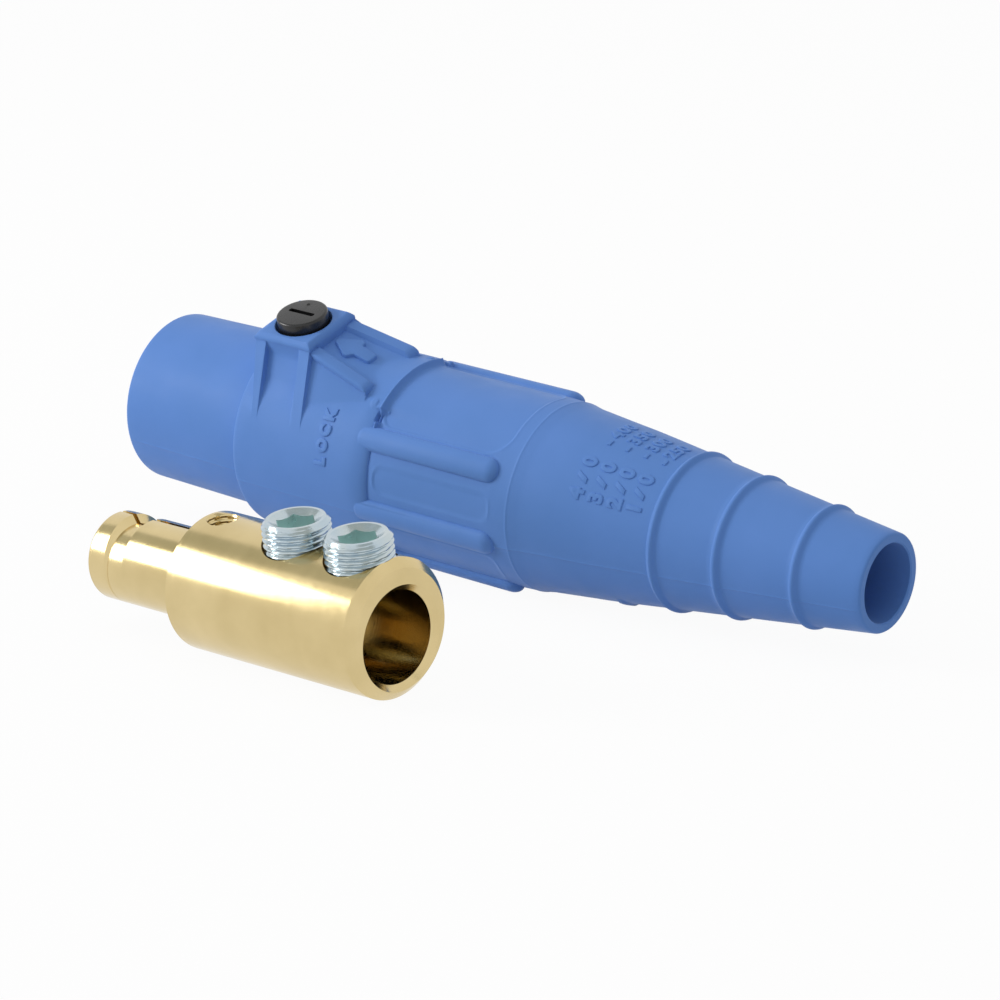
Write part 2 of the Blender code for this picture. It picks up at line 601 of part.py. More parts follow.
def world_points(objects):
    bpy.context.view_layer.update()
    return [obj.matrix_world @ vertex.co for obj in objects for vertex in obj.data.vertices]


def shade(obj):
    obj.data.shade_smooth()
    obj.data.set_sharp_from_angle(angle=math.radians(30.0))


def main():
    clear_scene()
    root = add_empty("cam_lock_plug")
    sleeve_frame = add_empty("sleeve_frame", root)
    sleeve_frame.rotation_euler = (SLEEVE_ROLL, SLEEVE_TILT, 0.0)
    contact_frame = add_empty("contact_frame", root)
    contact_frame.rotation_euler = (-CONTACT_ROLL, 0.0, math.pi + CONTACT_YAW)
    contact_frame.location = (CONTACT_FACE_X, -CONTACT_ASIDE, 0.0)

    sleeve = make_sleeve(sleeve_frame)
    retaining = make_retaining_screw(sleeve_frame)
    contact = make_contact(contact_frame)
    front, rear = set_screw_stations()
    set_screws = [make_set_screw("set_screw_front", front, contact_frame),
                  make_set_screw("set_screw_rear", rear, contact_frame)]
    pieces = [sleeve, retaining, contact] + set_screws
    for piece in pieces:
        shade(piece)

    # Let the sleeve and the contact down onto the floor, then centre the layout on the origin
    sleeve_frame.location.z = -min(point.z for point in world_points([sleeve]))
    contact_frame.location.z = -min(point.z for point in world_points([contact]))
    points = world_points(pieces)
    for axis in (0, 1):
        values = [point[axis] for point in points]
        root.location[axis] = -(min(values) + max(values)) / 2
    bpy.context.view_layer.update()


main()
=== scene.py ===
"""Looks of the cam-lock plug: rubber sleeve with its screw, brass contact with its set screws.

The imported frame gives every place: the sleeve's axis and boss, the contact's axis and its screws.
Lengths are in metres, worked out from millimetres where they are sizes of the real object.
"""
import json
import math
from functools import partial

import bmesh
import bpy
import numpy as np
from mathutils import Matrix, Vector


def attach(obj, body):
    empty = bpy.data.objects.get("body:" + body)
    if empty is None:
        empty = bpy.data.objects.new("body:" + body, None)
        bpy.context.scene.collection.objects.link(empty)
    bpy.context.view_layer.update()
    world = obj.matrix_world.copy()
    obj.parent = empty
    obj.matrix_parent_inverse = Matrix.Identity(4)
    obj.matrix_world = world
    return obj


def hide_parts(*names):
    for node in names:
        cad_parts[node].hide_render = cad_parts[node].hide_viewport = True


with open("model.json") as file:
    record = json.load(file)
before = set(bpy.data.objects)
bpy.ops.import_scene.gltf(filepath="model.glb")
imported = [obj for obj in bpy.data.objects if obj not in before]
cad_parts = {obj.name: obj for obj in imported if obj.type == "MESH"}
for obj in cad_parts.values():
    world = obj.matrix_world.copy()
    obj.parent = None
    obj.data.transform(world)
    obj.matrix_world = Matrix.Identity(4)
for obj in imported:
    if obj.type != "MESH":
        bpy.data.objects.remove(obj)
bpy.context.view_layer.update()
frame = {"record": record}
record = frame["record"]
MM = 0.001

# Sleeve, stations from its mouth
SLEEVE_LENGTH = 168.3 * MM
MOUTH_RADIUS = 16.6 * MM
MOUTH_ROUND = 0.9 * MM
NOSE_RADIUS = 17.1 * MM
COLLAR_START = 30.7 * MM
COLLAR_RADIUS = 19.5 * MM
COLLAR_EDGE = 0.8 * MM
COLLAR_END = 63.7 * MM
SHOULDER_LENGTH = 4.1 * MM
GRIP_RADIUS = 18.3 * MM
GRIP_END = 97.0 * MM
TAPER_START_RADIUS = 17.6 * MM
KNEE_STATION = 111.9 * MM
KNEE_RADIUS = 16.3 * MM
TAIL_RADIUS = 9.15 * MM
TAIL_WALL = 1.82 * MM
TAIL_EDGE = 0.4 * MM
RING_STATIONS = [126.9 * MM, 139.8 * MM, 155.3 * MM]
RING_HALF_WIDTH = 1.0 * MM
RING_HEIGHT = 0.65 * MM
PARTING_TURN = math.radians(92.0)

# Grip, turns counted from the boss
RIB_COUNT = 7
RIB_SPACING = math.radians(44.5)
RIB_HALF_WIDTH = 2.4 * MM
RIB_HEIGHT = 1.62 * MM
RIB_CENTRE = 18.1 * MM
RIB_START = 59.6 * MM
RIB_END = 93.4 * MM
TOP_PANEL_TURN = math.radians(46.5)
TOP_PANEL_DEPTH = 0.22 * MM
TOP_PANEL_WALL = 0.75 * MM
APRON_END = 63.4 * MM
APRON_TURN = math.radians(29.5)
APRON_BEAD = 0.35 * MM
APRON_DROP = 0.75 * MM
APRON_SWELL = 0.55 * MM
NOTCH_TURN = math.radians(33.6)
NOTCH_DEPTH = 0.95 * MM
PANEL_DEPTH = 0.14 * MM
PANEL_CORNER = 2.2 * MM
PANELS = ((math.radians(69.5), 2.6 * MM), (math.radians(113.25), 3.6 * MM),
          (math.radians(157.75), 3.6 * MM))
BUTTON_TURN = math.radians(26.0)
BAR_TURN = math.radians(141.0)

# Boss on the sleeve, heights from the sleeve's axis
BOSS_STATION = 38.4 * MM
BOSS_HEIGHT = 25.45 * MM
PLATE_HALF = 6.95 * MM
PLATE_BEVEL = 0.75 * MM
PLATE_EDGE_HEIGHT = 24.55 * MM
PLATE_UNDERSIDE = 24.0 * MM
LIP = 0.2 * MM
GUSSET_WIDTH = 2.6 * MM
GUSSET_LEAN = 1.8 * MM
GUSSET_FRONT_LEAN = 3.1 * MM
RECESS_DEPTH = 1.3 * MM
RECESS_FOOT_TURN = math.radians(41.0)
RAMP_TOP = 23.65 * MM
RAMP_SLOPE = 0.295
RAMP_WIDTH = 2.9 * MM
RAMP_LENGTH = 13.6 * MM
RAMP_SPREAD = 1.5 * MM
RAMP_PROUD = 0.9 * MM

# Retaining screw, heights from the boss plate's top; its pocket's floor is counted from the
# sleeve's axis
HEAD_TOP = 2.0 * MM
HEAD_HEIGHT = 4.3 * MM
HEAD_RADIUS = 5.0 * MM
HEAD_EDGE = 0.5 * MM
SLOT_HALF_WIDTH = 0.5 * MM
SLOT_HALF_LENGTH = 2.75 * MM
SLOT_DEPTH = 1.5 * MM
SHANK_TIP = 13.2 * MM - BOSS_HEIGHT
POCKET_FLOOR = BOSS_HEIGHT - 2.75 * MM
POCKET_RADIUS = 5.55 * MM
SHANK_HOLE_RADIUS = 3.15 * MM

# Contact, stations from its wire face
BARREL_RADIUS = 12.6 * MM
BARREL_LENGTH = 46.0 * MM
CONTACT_LENGTH = 70.9 * MM
PIN_RADIUS = 8.17 * MM
BORE_RADIUS = 8.38 * MM
BORE_OFFSET = 1.5 * MM
BORE_DEPTH = 31.0 * MM
SET_SCREW_STATIONS = (7.95 * MM, 23.0 * MM)
SET_SCREW_SEAT = 6.88 * MM
SET_SCREW_RADIUS = 6.2 * MM
SET_SCREW_LENGTH = 9.5 * MM
SET_SCREW_HOLE = 6.5 * MM
SOCKET_FLATS = 6.55 * MM
SOCKET_DEPTH = 4.6 * MM
TAPPED_STATION = 41.85 * MM
SLIT_LENGTH = 21.8 * MM
SLIT_TURN = math.radians(10.0)

# Threads: share of the pitch that is flat at the crest and at the root
THREAD_FLAT = 0.12

# Raised text, one glyph a piece: name, rows of glyphs, their turns in degrees, size, first station,
# step to the next row, height, thickening, stretch
MARKS = (
    ("lock_letter", ("LOCK",), (66.3, 57.3, 48.8, 40.2), 3.3, 53.1, 0.0, 0.25, 0.17, (0.9, 1.0)),
    ("size_mark", ("4/0", "3/0", "2/0", "1/0"), (45.8, 34.8, 23.4), 4.0, 110.3, 4.0, 0.22, 0.12,
     (1.0, 1.0)),
    ("number_mark", ("-400", "-350", "-300", "-250"), (5.0, -4.5, -12.0, -19.5), 3.6, 110.9, 4.0,
     0.22, 0.08, (1.0, 1.0)))
SLASH_STRETCH = (1.35, 0.7)

# The photograph's view, fitted to the outlines seen there; the target is counted from the mouth
VIEW_AZIMUTH = math.radians(38.37)
VIEW_ELEVATION = math.radians(15.09)
VIEW_DISTANCE = 779.9 * MM
VIEW_TARGET = (80.92 * MM, 0.0, -8.185 * MM)
FOCAL_PIXELS = 4137.5
PHOTO_PIXELS = 1000
SENSOR_WIDTH = 36.0

SLEEVE_BODY = "sleeve_and_contact"


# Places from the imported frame

def joint(name):
    return next(j for j in record["behaviour"]["joints"] if j["name"] == name)


def mount(name):
    return next(m for m in record["mounts"] if m["name"] == name)


def frame_matrix(origin, along, up):
    """Local X along, local Z up, local Y to the right hand of both."""
    side = up.cross(along).normalized()
    matrix = Matrix((along, side, up)).transposed().to_4x4()
    matrix.translation = origin
    return matrix


boss = joint("retaining_screw_advance")
boss_up = Vector(boss["axis"]).normalized()
sleeve_along = Vector(mount("cable_end_face")["axis"]).normalized()
mouth = Vector(boss["pos_m"]) - sleeve_along * BOSS_STATION - boss_up * BOSS_HEIGHT
SLEEVE = frame_matrix(mouth, sleeve_along, boss_up)

front_screw = joint("set_screw_front_advance")
screw_up = -Vector(front_screw["axis"]).normalized()
contact_along = -Vector(mount("wire_end_face")["axis"]).normalized()
wire_face = (Vector(front_screw["pos_m"]) - contact_along * SET_SCREW_STATIONS[0]
             - screw_up * SET_SCREW_SEAT)
CONTACT = frame_matrix(wire_face, contact_along, screw_up)


# Mesh helpers

def adjust(thing, **settings):
    for key, value in settings.items():
        setattr(thing, key, value)


def add_object(name, data):
    obj = bpy.data.objects.new(name, data)
    bpy.context.scene.collection.objects.link(obj)
    return obj


def face_outward(mesh, merge=None):
    """Turn a mesh's faces outward, after merging points that lie this near."""
    bm = bmesh.new()
    bm.from_mesh(mesh)
    if merge:
        bmesh.ops.remove_doubles(bm, verts=bm.verts, dist=merge)
    bmesh.ops.recalc_face_normals(bm, faces=bm.faces)
    bm.to_mesh(mesh)
    bm.free()


def new_object(name, points, faces):
    mesh = bpy.data.meshes.new(name)
    mesh.from_pydata([tuple(p) for p in points], [], faces)
    face_outward(mesh)
    return add_object(name, mesh)


def grid_faces(rows, columns, close_rows=False):
    """Quads of a grid whose columns close on themselves, and its rows too if asked."""
    last = rows if close_rows else rows - 1
    i, j = np.meshgrid(np.arange(last), np.arange(columns), indexing="ij")
    a = i * columns + j
    b = i * columns + (j + 1) % columns
    c = ((i + 1) % rows) * columns + (j + 1) % columns
    d = ((i + 1) % rows) * columns + j
    return np.stack([a, b, c, d], -1).reshape(-1, 4).tolist()


def lathe(name, profile, segments=128, middle=0.0):
    """Turn (station, radius) points about X, with poles where the radius is 0."""
    points = []
    rings = []
    for x, radius in profile:
        count = 1 if radius == 0.0 else segments
        rings.append(range(len(points), len(points) + count))
        for k in range(count):
            a = 2 * math.pi * (k + 0.5) / segments
            points.append((x, -radius * math.sin(a), middle + radius * math.cos(a)))
    faces = []
    for a, b in zip(rings, rings[1:]):
        for k in range(segments):
            n = (k + 1) % segments
            if len(a) == 1:
                faces.append((a[0], b[k], b[n]))
            elif len(b) == 1:
                faces.append((a[k], a[n], b[0]))
            else:
                faces.append((a[k], a[n], b[n], b[k]))
    return new_object(name, points, faces)


def loft(name, sections):
    size = len(sections[0])
    points = [p for section in sections for p in section]
    faces = [tuple(range(size)), tuple(range(len(points) - size, len(points)))]
    for row in range(len(sections) - 1):
        a, b = row * size, (row + 1) * size
        faces += [(a + k, a + (k + 1) % size, b + (k + 1) % size, b + k) for k in range(size)]
    return new_object(name, points, faces)


def evaluated_mesh(obj):
    graph = bpy.context.evaluated_depsgraph_get()
    return bpy.data.meshes.new_from_object(obj.evaluated_get(graph))


def bake(obj):
    """Put what the object's modifiers make in its mesh, and remove them."""
    mesh = evaluated_mesh(obj)
    obj.modifiers.clear()
    obj.data = mesh
    return obj


def combine(obj, tool, operation="DIFFERENCE"):
    modifier = obj.modifiers.new("combine", "BOOLEAN")
    adjust(modifier, operation=operation, solver="EXACT", object=tool)
    bake(obj)
    bpy.data.objects.remove(tool, do_unlink=True)


def upright(obj, station):
    """Stand a solid that was turned about X upright at a station."""
    stand = Matrix.Rotation(-math.pi / 2, 4, "Y")
    obj.data.transform(Matrix.Translation((station, 0.0, 0.0)) @ stand)
    return obj


def place(obj, matrix, material, body, slot, *nodes, sharp=30.0):
    """Put the mesh in its place, give it its finish and tie it to the frame."""
    obj.data.transform(matrix)
    obj.data.shade_smooth()
    obj.data.set_sharp_from_angle(angle=math.radians(sharp))
    obj.data.materials.clear()
    obj.data.materials.append(material)
    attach(obj, body)
    if nodes:
        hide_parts(*nodes)
    return obj


def quarter_round(x, radius, size, start, end, steps=6):
    angles = np.linspace(start, end, steps + 1)
    return [(x + size * math.cos(a), radius + size * math.sin(a)) for a in angles]


# Geometry Nodes

def new_tree(name, inputs):
    """A tree with named inputs; its maker links what it builds to the output."""
    tree = bpy.data.node_groups.new(name, "GeometryNodeTree")
    tree.is_modifier = True
    for label, kind, value in inputs:
        socket = tree.interface.new_socket(label, in_out="INPUT", socket_type="NodeSocket" + kind)
        if value is not None:
            socket.default_value = value
    tree.interface.new_socket("Geometry", in_out="OUTPUT", socket_type="NodeSocketGeometry")
    start = tree.nodes.new("NodeGroupInput")
    return tree, start.outputs


def link(tree, source, socket):
    """Join a socket to another one, or set it to a plain value."""
    if isinstance(source, bpy.types.NodeSocket):
        tree.links.new(source, socket)
    else:
        socket.default_value = source


def tree_node(tree, kind, inputs=None, **settings):
    node = tree.nodes.new(kind)
    adjust(node, **settings)
    for key, source in (inputs or {}).items():
        link(tree, source, node.inputs[key])
    return node


def sum_up(tree, operation, a, b=0.0):
    """One Math node."""
    node = tree_node(tree, "ShaderNodeMath", operation=operation)
    link(tree, a, node.inputs[0])
    link(tree, b, node.inputs[1])
    return node.outputs[0]


def four_sums(tree):
    """Makers of the tree's sums, differences, products and quotients."""
    return [partial(sum_up, tree, kind) for kind in ("ADD", "SUBTRACT", "MULTIPLY", "DIVIDE")]


def positions(tree):
    """X, Y and Z of every point."""
    position = tree.nodes.new("GeometryNodeInputPosition").outputs[0]
    return tree_node(tree, "ShaderNodeSeparateXYZ", {0: position}).outputs


def finish_tree(tree, geometry, material):
    """Every tree ends in Realize Instances and Set Material."""
    real = tree_node(tree, "GeometryNodeRealizeInstances", {"Geometry": geometry})
    dressed = tree_node(tree, "GeometryNodeSetMaterial", {
        "Geometry": real.outputs["Geometry"], "Material": material})
    out = tree.nodes.new("NodeGroupOutput")
    tree.links.new(dressed.outputs["Geometry"], out.inputs["Geometry"])
    return tree


def grow(name, tree, values):
    """Run a tree with these inputs, found by their sockets' identifiers, into a plain mesh."""
    obj = add_object(name, bpy.data.meshes.new(name))
    modifier = obj.modifiers.new("grow", "NODES")
    modifier.node_group = tree
    for item in tree.interface.items_tree:
        if item.in_out == "INPUT" and item.name in values:
            modifier[item.identifier] = values[item.name]
    return bake(obj)


def threaded_rod_tree():
    """A rod on +Z whose side follows a thread, trimmed to a cone at each end."""
    tree, given = new_tree("threaded_rod", [
        ("Radius", "Float", 1.0), ("Length", "Float", 1.0), ("Pitch", "Float", 1.0),
        ("Depth", "Float", 0.1), ("Low chamfer", "Float", 0.0), ("High chamfer", "Float", 0.0),
        ("Rows", "Int", 100), ("Material", "Material", None)])
    add, less, times, over = four_sums(tree)
    rod = tree_node(tree, "GeometryNodeMeshCylinder", {
        "Vertices": 96, "Side Segments": given["Rows"], "Radius": given["Radius"],
        "Depth": given["Length"]}, fill_type="NGON")
    x, y, z = positions(tree)
    z = add(z, times(given["Length"], 0.5))
    turn = sum_up(tree, "ARCTAN2", y, x)
    pitches = over(z, given["Pitch"])
    phase = sum_up(tree, "FRACT", less(pitches, over(turn, 2 * math.pi)))
    fall = sum_up(tree, "ABSOLUTE", less(times(phase, 2.0), 1.0))
    crest = over(less(1.0 - THREAD_FLAT, fall), 1.0 - 2 * THREAD_FLAT)
    crest = sum_up(tree, "MINIMUM", sum_up(tree, "MAXIMUM", crest, 0.0), 1.0)
    groove = times(given["Depth"], less(1.0, crest))
    radius = less(given["Radius"], groove)
    low = add(less(given["Radius"], given["Low chamfer"]), z)
    left = less(given["Length"], z)
    high = add(less(given["Radius"], given["High chamfer"]), left)
    radius = sum_up(tree, "MINIMUM", radius, sum_up(tree, "MINIMUM", low, high))
    spot = tree_node(tree, "ShaderNodeCombineXYZ", {
        0: times(radius, sum_up(tree, "COSINE", turn)),
        1: times(radius, sum_up(tree, "SINE", turn)), 2: z})
    moved = tree_node(tree, "GeometryNodeSetPosition", {
        "Geometry": rod.outputs["Mesh"], "Position": spot.outputs[0]})
    return finish_tree(tree, moved.outputs["Geometry"], given["Material"])


def long_ribs_tree():
    """Round-ended ribs along X, standing round it at equal turns from the first."""
    tree, given = new_tree("long_ribs", [
        ("Count", "Int", 1), ("First turn", "Float", 0.0), ("Turn step", "Float", 0.0),
        ("Start", "Float", 0.0), ("End", "Float", 1.0), ("Half width", "Float", 0.1),
        ("Height", "Float", 0.1), ("Centre radius", "Float", 1.0), ("Material", "Material", None)])
    add, less, times, over = four_sums(tree)
    ball = tree_node(tree, "GeometryNodeMeshUVSphere", {"Segments": 32, "Rings": 20, "Radius": 1.0})
    lying = tree_node(tree, "GeometryNodeTransform", {
        "Geometry": ball.outputs["Mesh"], "Rotation": (0.0, math.pi / 2, 0.0)})
    length = less(given["End"], given["Start"])
    reach = less(times(length, 0.5), given["Half width"])
    x, y, z = positions(tree)
    end = times(sum_up(tree, "SIGN", add(x, 0.001)), reach)
    spot = tree_node(tree, "ShaderNodeCombineXYZ", {
        0: add(times(x, given["Half width"]), end),
        1: times(y, given["Half width"]),
        2: times(z, given["Height"])})
    rib = tree_node(tree, "GeometryNodeSetPosition", {
        "Geometry": lying.outputs["Geometry"], "Position": spot.outputs[0]})
    index = tree.nodes.new("GeometryNodeInputIndex").outputs[0]
    turn = add(given["First turn"], times(index, given["Turn step"]))
    across = times(sum_up(tree, "SINE", turn), -1.0)
    foot = tree_node(tree, "ShaderNodeCombineXYZ", {
        0: times(add(given["Start"], given["End"]), 0.5),
        1: times(given["Centre radius"], across),
        2: times(given["Centre radius"], sum_up(tree, "COSINE", turn))})
    spots = tree_node(tree, "GeometryNodePoints", {
        "Count": given["Count"], "Position": foot.outputs[0]})
    rotation = tree_node(tree, "ShaderNodeCombineXYZ", {0: turn})
    stood = tree_node(tree, "GeometryNodeInstanceOnPoints", {
        "Points": spots.outputs[0], "Instance": rib.outputs["Geometry"],
        "Rotation": rotation.outputs[0]})
    return finish_tree(tree, stood.outputs["Instances"], given["Material"])


# Materials

def set_sockets(node, values):
    for key, value in values.items():
        node.inputs[key].default_value = value


def new_material(name, colour, roughness, metallic=0.0):
    material = bpy.data.materials.new(name)
    material.use_nodes = True
    shader = material.node_tree.nodes["Principled BSDF"]
    set_sockets(shader, {
        "Base Color": (*colour, 1.0), "Roughness": roughness, "Metallic": metallic})
    return material, material.node_tree, shader


def object_coordinates(tree, rotation=(0.0, 0.0, 0.0), scale=(1.0, 1.0, 1.0)):
    spot = tree.nodes.new("ShaderNodeTexCoord").outputs["Object"]
    mapping = tree_node(tree, "ShaderNodeMapping", {
        "Rotation": rotation, "Scale": scale, "Vector": spot})
    return mapping.outputs["Vector"]


def noise(tree, vector, scale, detail=4.0, roughness=0.5):
    node = tree_node(tree, "ShaderNodeTexNoise", {
        "Scale": scale, "Detail": detail, "Roughness": roughness, "Vector": vector})
    return node.outputs["Fac"]


def colour_ramp(tree, value, stops):
    node = tree_node(tree, "ShaderNodeValToRGB", {"Fac": value})
    elements = node.color_ramp.elements
    while len(elements) < len(stops):
        elements.new(0.5)
    for element, (position, colour) in zip(elements, stops):
        element.position = position
        element.color = (*colour, 1.0)
    return node.outputs["Color"]


def gloss_range(tree, shader, value, low, high):
    """Let the roughness wander between two values."""
    gloss = colour_ramp(tree, value, [(0.3, (low,) * 3), (0.7, (high,) * 3)])
    tree.links.new(gloss, shader.inputs["Roughness"])


def bump(tree, shader, heights, distance):
    """Chain bumps: each height socket comes with its own strength."""
    normal = None
    for height, strength in heights:
        node = tree_node(tree, "ShaderNodeBump", {
        "Strength": strength, "Distance": distance, "Height": height})
        if normal:
            tree.links.new(normal, node.inputs["Normal"])
        normal = node.outputs["Normal"]
    tree.links.new(normal, shader.inputs["Normal"])


def rubber_material():
    material, tree, shader = new_material("blue_rubber", (0.115, 0.256, 0.635), 0.5)
    vector = object_coordinates(tree)
    tint = colour_ramp(tree, noise(tree, vector, 55.0, 3.0),
                       [(0.35, (0.109, 0.248, 0.615)), (0.65, (0.121, 0.265, 0.655))])
    tree.links.new(tint, shader.inputs["Base Color"])
    gloss_range(tree, shader, noise(tree, vector, 240.0, 3.0), 0.44, 0.56)
    set_sockets(shader, {"Specular IOR Level": 0.1, "Sheen Weight": 0.06, "Sheen Roughness": 0.5})
    grain, waves = noise(tree, vector, 1700.0, 2.0), noise(tree, vector, 160.0, 2.0)
    bump(tree, shader, [(grain, 0.05), (waves, 0.05)], 0.4 * MM)
    return material


def brass_material():
    """Fine turned lines across the contact's axis, with a faint unevenness."""
    yaw = math.atan2(contact_along.y, contact_along.x)
    material, tree, shader = new_material("turned_brass", (0.80, 0.62, 0.33), 0.2, 1.0)
    across = object_coordinates(tree, (0.0, 0.0, -yaw), (1.0, 0.02, 0.02))
    plain = object_coordinates(tree)
    lines = noise(tree, across, 5200.0, 3.0, 0.7)
    tint = colour_ramp(tree, noise(tree, plain, 90.0, 3.0),
                       [(0.3, (0.62, 0.49, 0.245)), (0.7, (0.70, 0.56, 0.295))])
    tree.links.new(tint, shader.inputs["Base Color"])
    gloss_range(tree, shader, lines, 0.12, 0.24)
    bump(tree, shader, [(lines, 0.2), (noise(tree, plain, 60.0, 2.0), 0.06)], 0.05 * MM)
    return material


def zinc_material(name, colour, tint_colour, roughness):
    material, tree, shader = new_material(name, colour, roughness, 1.0)
    vector = object_coordinates(tree)
    tint = colour_ramp(tree, noise(tree, vector, 220.0, 3.0), [(0.35, colour), (0.65, tint_colour)])
    tree.links.new(tint, shader.inputs["Base Color"])
    gloss_range(tree, shader, noise(tree, vector, 900.0, 3.0), roughness - 0.06, roughness + 0.08)
    bump(tree, shader, [(noise(tree, vector, 1500.0, 3.0), 0.06)], 0.05 * MM)
    return material


def black_material():
    material, tree, shader = new_material("black_nylon", (0.011, 0.011, 0.012), 0.3)
    vector = object_coordinates(tree)
    gloss_range(tree, shader, noise(tree, vector, 500.0, 3.0), 0.22, 0.34)
    bump(tree, shader, [(noise(tree, vector, 900.0, 3.0), 0.12)], 0.1 * MM)
    return material


RUBBER = rubber_material()
TURNED_BRASS = brass_material()
ZINC = zinc_material("bright_zinc", (0.52, 0.585, 0.60), (0.47, 0.56, 0.62), 0.18)
# Painted reflection: a paler teal-green zinc for the set screws' socket walls, standing in for the
# blue sleeve mirrored there
SOCKET_PAINTED_REFLECTION = zinc_material("socket_painted_reflection", (0.62, 0.76, 0.75), (0.68, 0.82, 0.81), 0.32)
NYLON = black_material()
THREADED_ROD = threaded_rod_tree()
LONG_RIBS = long_ribs_tree()


# Sleeve's turned form

def smooth(value):
    value = np.clip(value, 0.0, 1.0)
    return value * value * (3.0 - 2.0 * value)


def rise(value, edge, width):
    """0 below the edge and 1 above it."""
    return smooth((value - edge) / width + 0.5)


def between(value, low, high, width):
    return rise(value, low, width) * (1.0 - rise(value, high, width))


def hump(value, half_width):
    """1 at 0 and 0 from half_width on."""
    return smooth(1.0 - np.abs(value) / half_width)


def rounded_box(station, across, centre, half_length, half_width, corner):
    """Signed distance to a rectangle with round corners on the unrolled wall."""
    x = np.abs(station - centre) - half_length + corner
    y = np.abs(across) - half_width + corner
    outside = np.hypot(np.maximum(x, 0.0), np.maximum(y, 0.0))
    return outside + np.minimum(np.maximum(x, y), 0.0) - corner


def cone_radius(station):
    share = (station - KNEE_STATION) / (SLEEVE_LENGTH - KNEE_STATION)
    return KNEE_RADIUS + (TAIL_RADIUS - KNEE_RADIUS) * share


def turned_outline():
    """Outer radius of the sleeve by station, without what stands out of it."""
    points = quarter_round(MOUTH_ROUND, MOUTH_RADIUS - MOUTH_ROUND, MOUTH_ROUND,
                           math.pi, math.pi / 2, 8)
    foot = 0.3 * MM
    points += [(COLLAR_START - foot, NOSE_RADIUS)]
    points += quarter_round(COLLAR_START - foot, NOSE_RADIUS + foot, foot,
                            -math.pi / 2, -0.1, 3)[1:]
    points += quarter_round(COLLAR_START + COLLAR_EDGE, COLLAR_RADIUS - COLLAR_EDGE, COLLAR_EDGE,
                            math.pi * 0.98, math.pi / 2, 6)
    drop = COLLAR_RADIUS - GRIP_RADIUS + 0.05 * MM
    for k in range(13):
        a = math.pi / 2 * (1 - k / 12)
        points.append((COLLAR_END - SHOULDER_LENGTH * (1 - math.cos(a) ** 1.15),
                       COLLAR_RADIUS - drop * (1 - math.sin(a))))
    points += [(COLLAR_END + 0.7 * MM, GRIP_RADIUS), (GRIP_END - 4.5 * MM, GRIP_RADIUS - 0.05 * MM)]
    ring = 0.45 * MM
    for k in range(-4, 5):
        x = GRIP_END - ring + ring * k / 4
        wall = GRIP_RADIUS - 0.33 * MM - 0.1 * (x - GRIP_END)
        points.append((x, wall + 0.045 * MM * (1 + math.cos(math.pi * k / 4))))
    points += [(GRIP_END + 2.0 * MM, TAPER_START_RADIUS),
               (KNEE_STATION - 4 * MM, KNEE_RADIUS + 0.36 * MM),
               (KNEE_STATION, KNEE_RADIUS - 0.03 * MM),
               (KNEE_STATION + 4 * MM, KNEE_RADIUS - 0.5 * MM)]
    for ring_station in RING_STATIONS:
        for k in range(-7, 8):
            share = k / 7
            x = ring_station + RING_HALF_WIDTH * share
            lift = RING_HEIGHT * (0.5 + 0.5 * math.cos(math.pi * share)) ** 0.7
            points.append((x, cone_radius(x) + lift))
    points += [(SLEEVE_LENGTH - TAIL_EDGE, cone_radius(SLEEVE_LENGTH - TAIL_EDGE))]
    points += quarter_round(SLEEVE_LENGTH - TAIL_EDGE, TAIL_RADIUS - TAIL_EDGE, TAIL_EDGE,
                            math.pi / 2, 0.0, 4)[1:]
    return points


OUTLINE = np.array(sorted(turned_outline(), key=lambda p: p[0]))


def recessed(station, across, start, end, half_width, corners, depth):
    """A shallow panel's depth, with a fine raised line round it."""
    centre, half_length = (start + end) / 2, (end - start) / 2
    corner = np.where(station < centre, corners[0], corners[1])
    away = rounded_box(station, across, centre, half_length, half_width, corner)
    return -depth * (1 - rise(away, 0.0, 0.35 * MM)) + 0.08 * MM * hump(away - 0.4 * MM, 0.3 * MM)


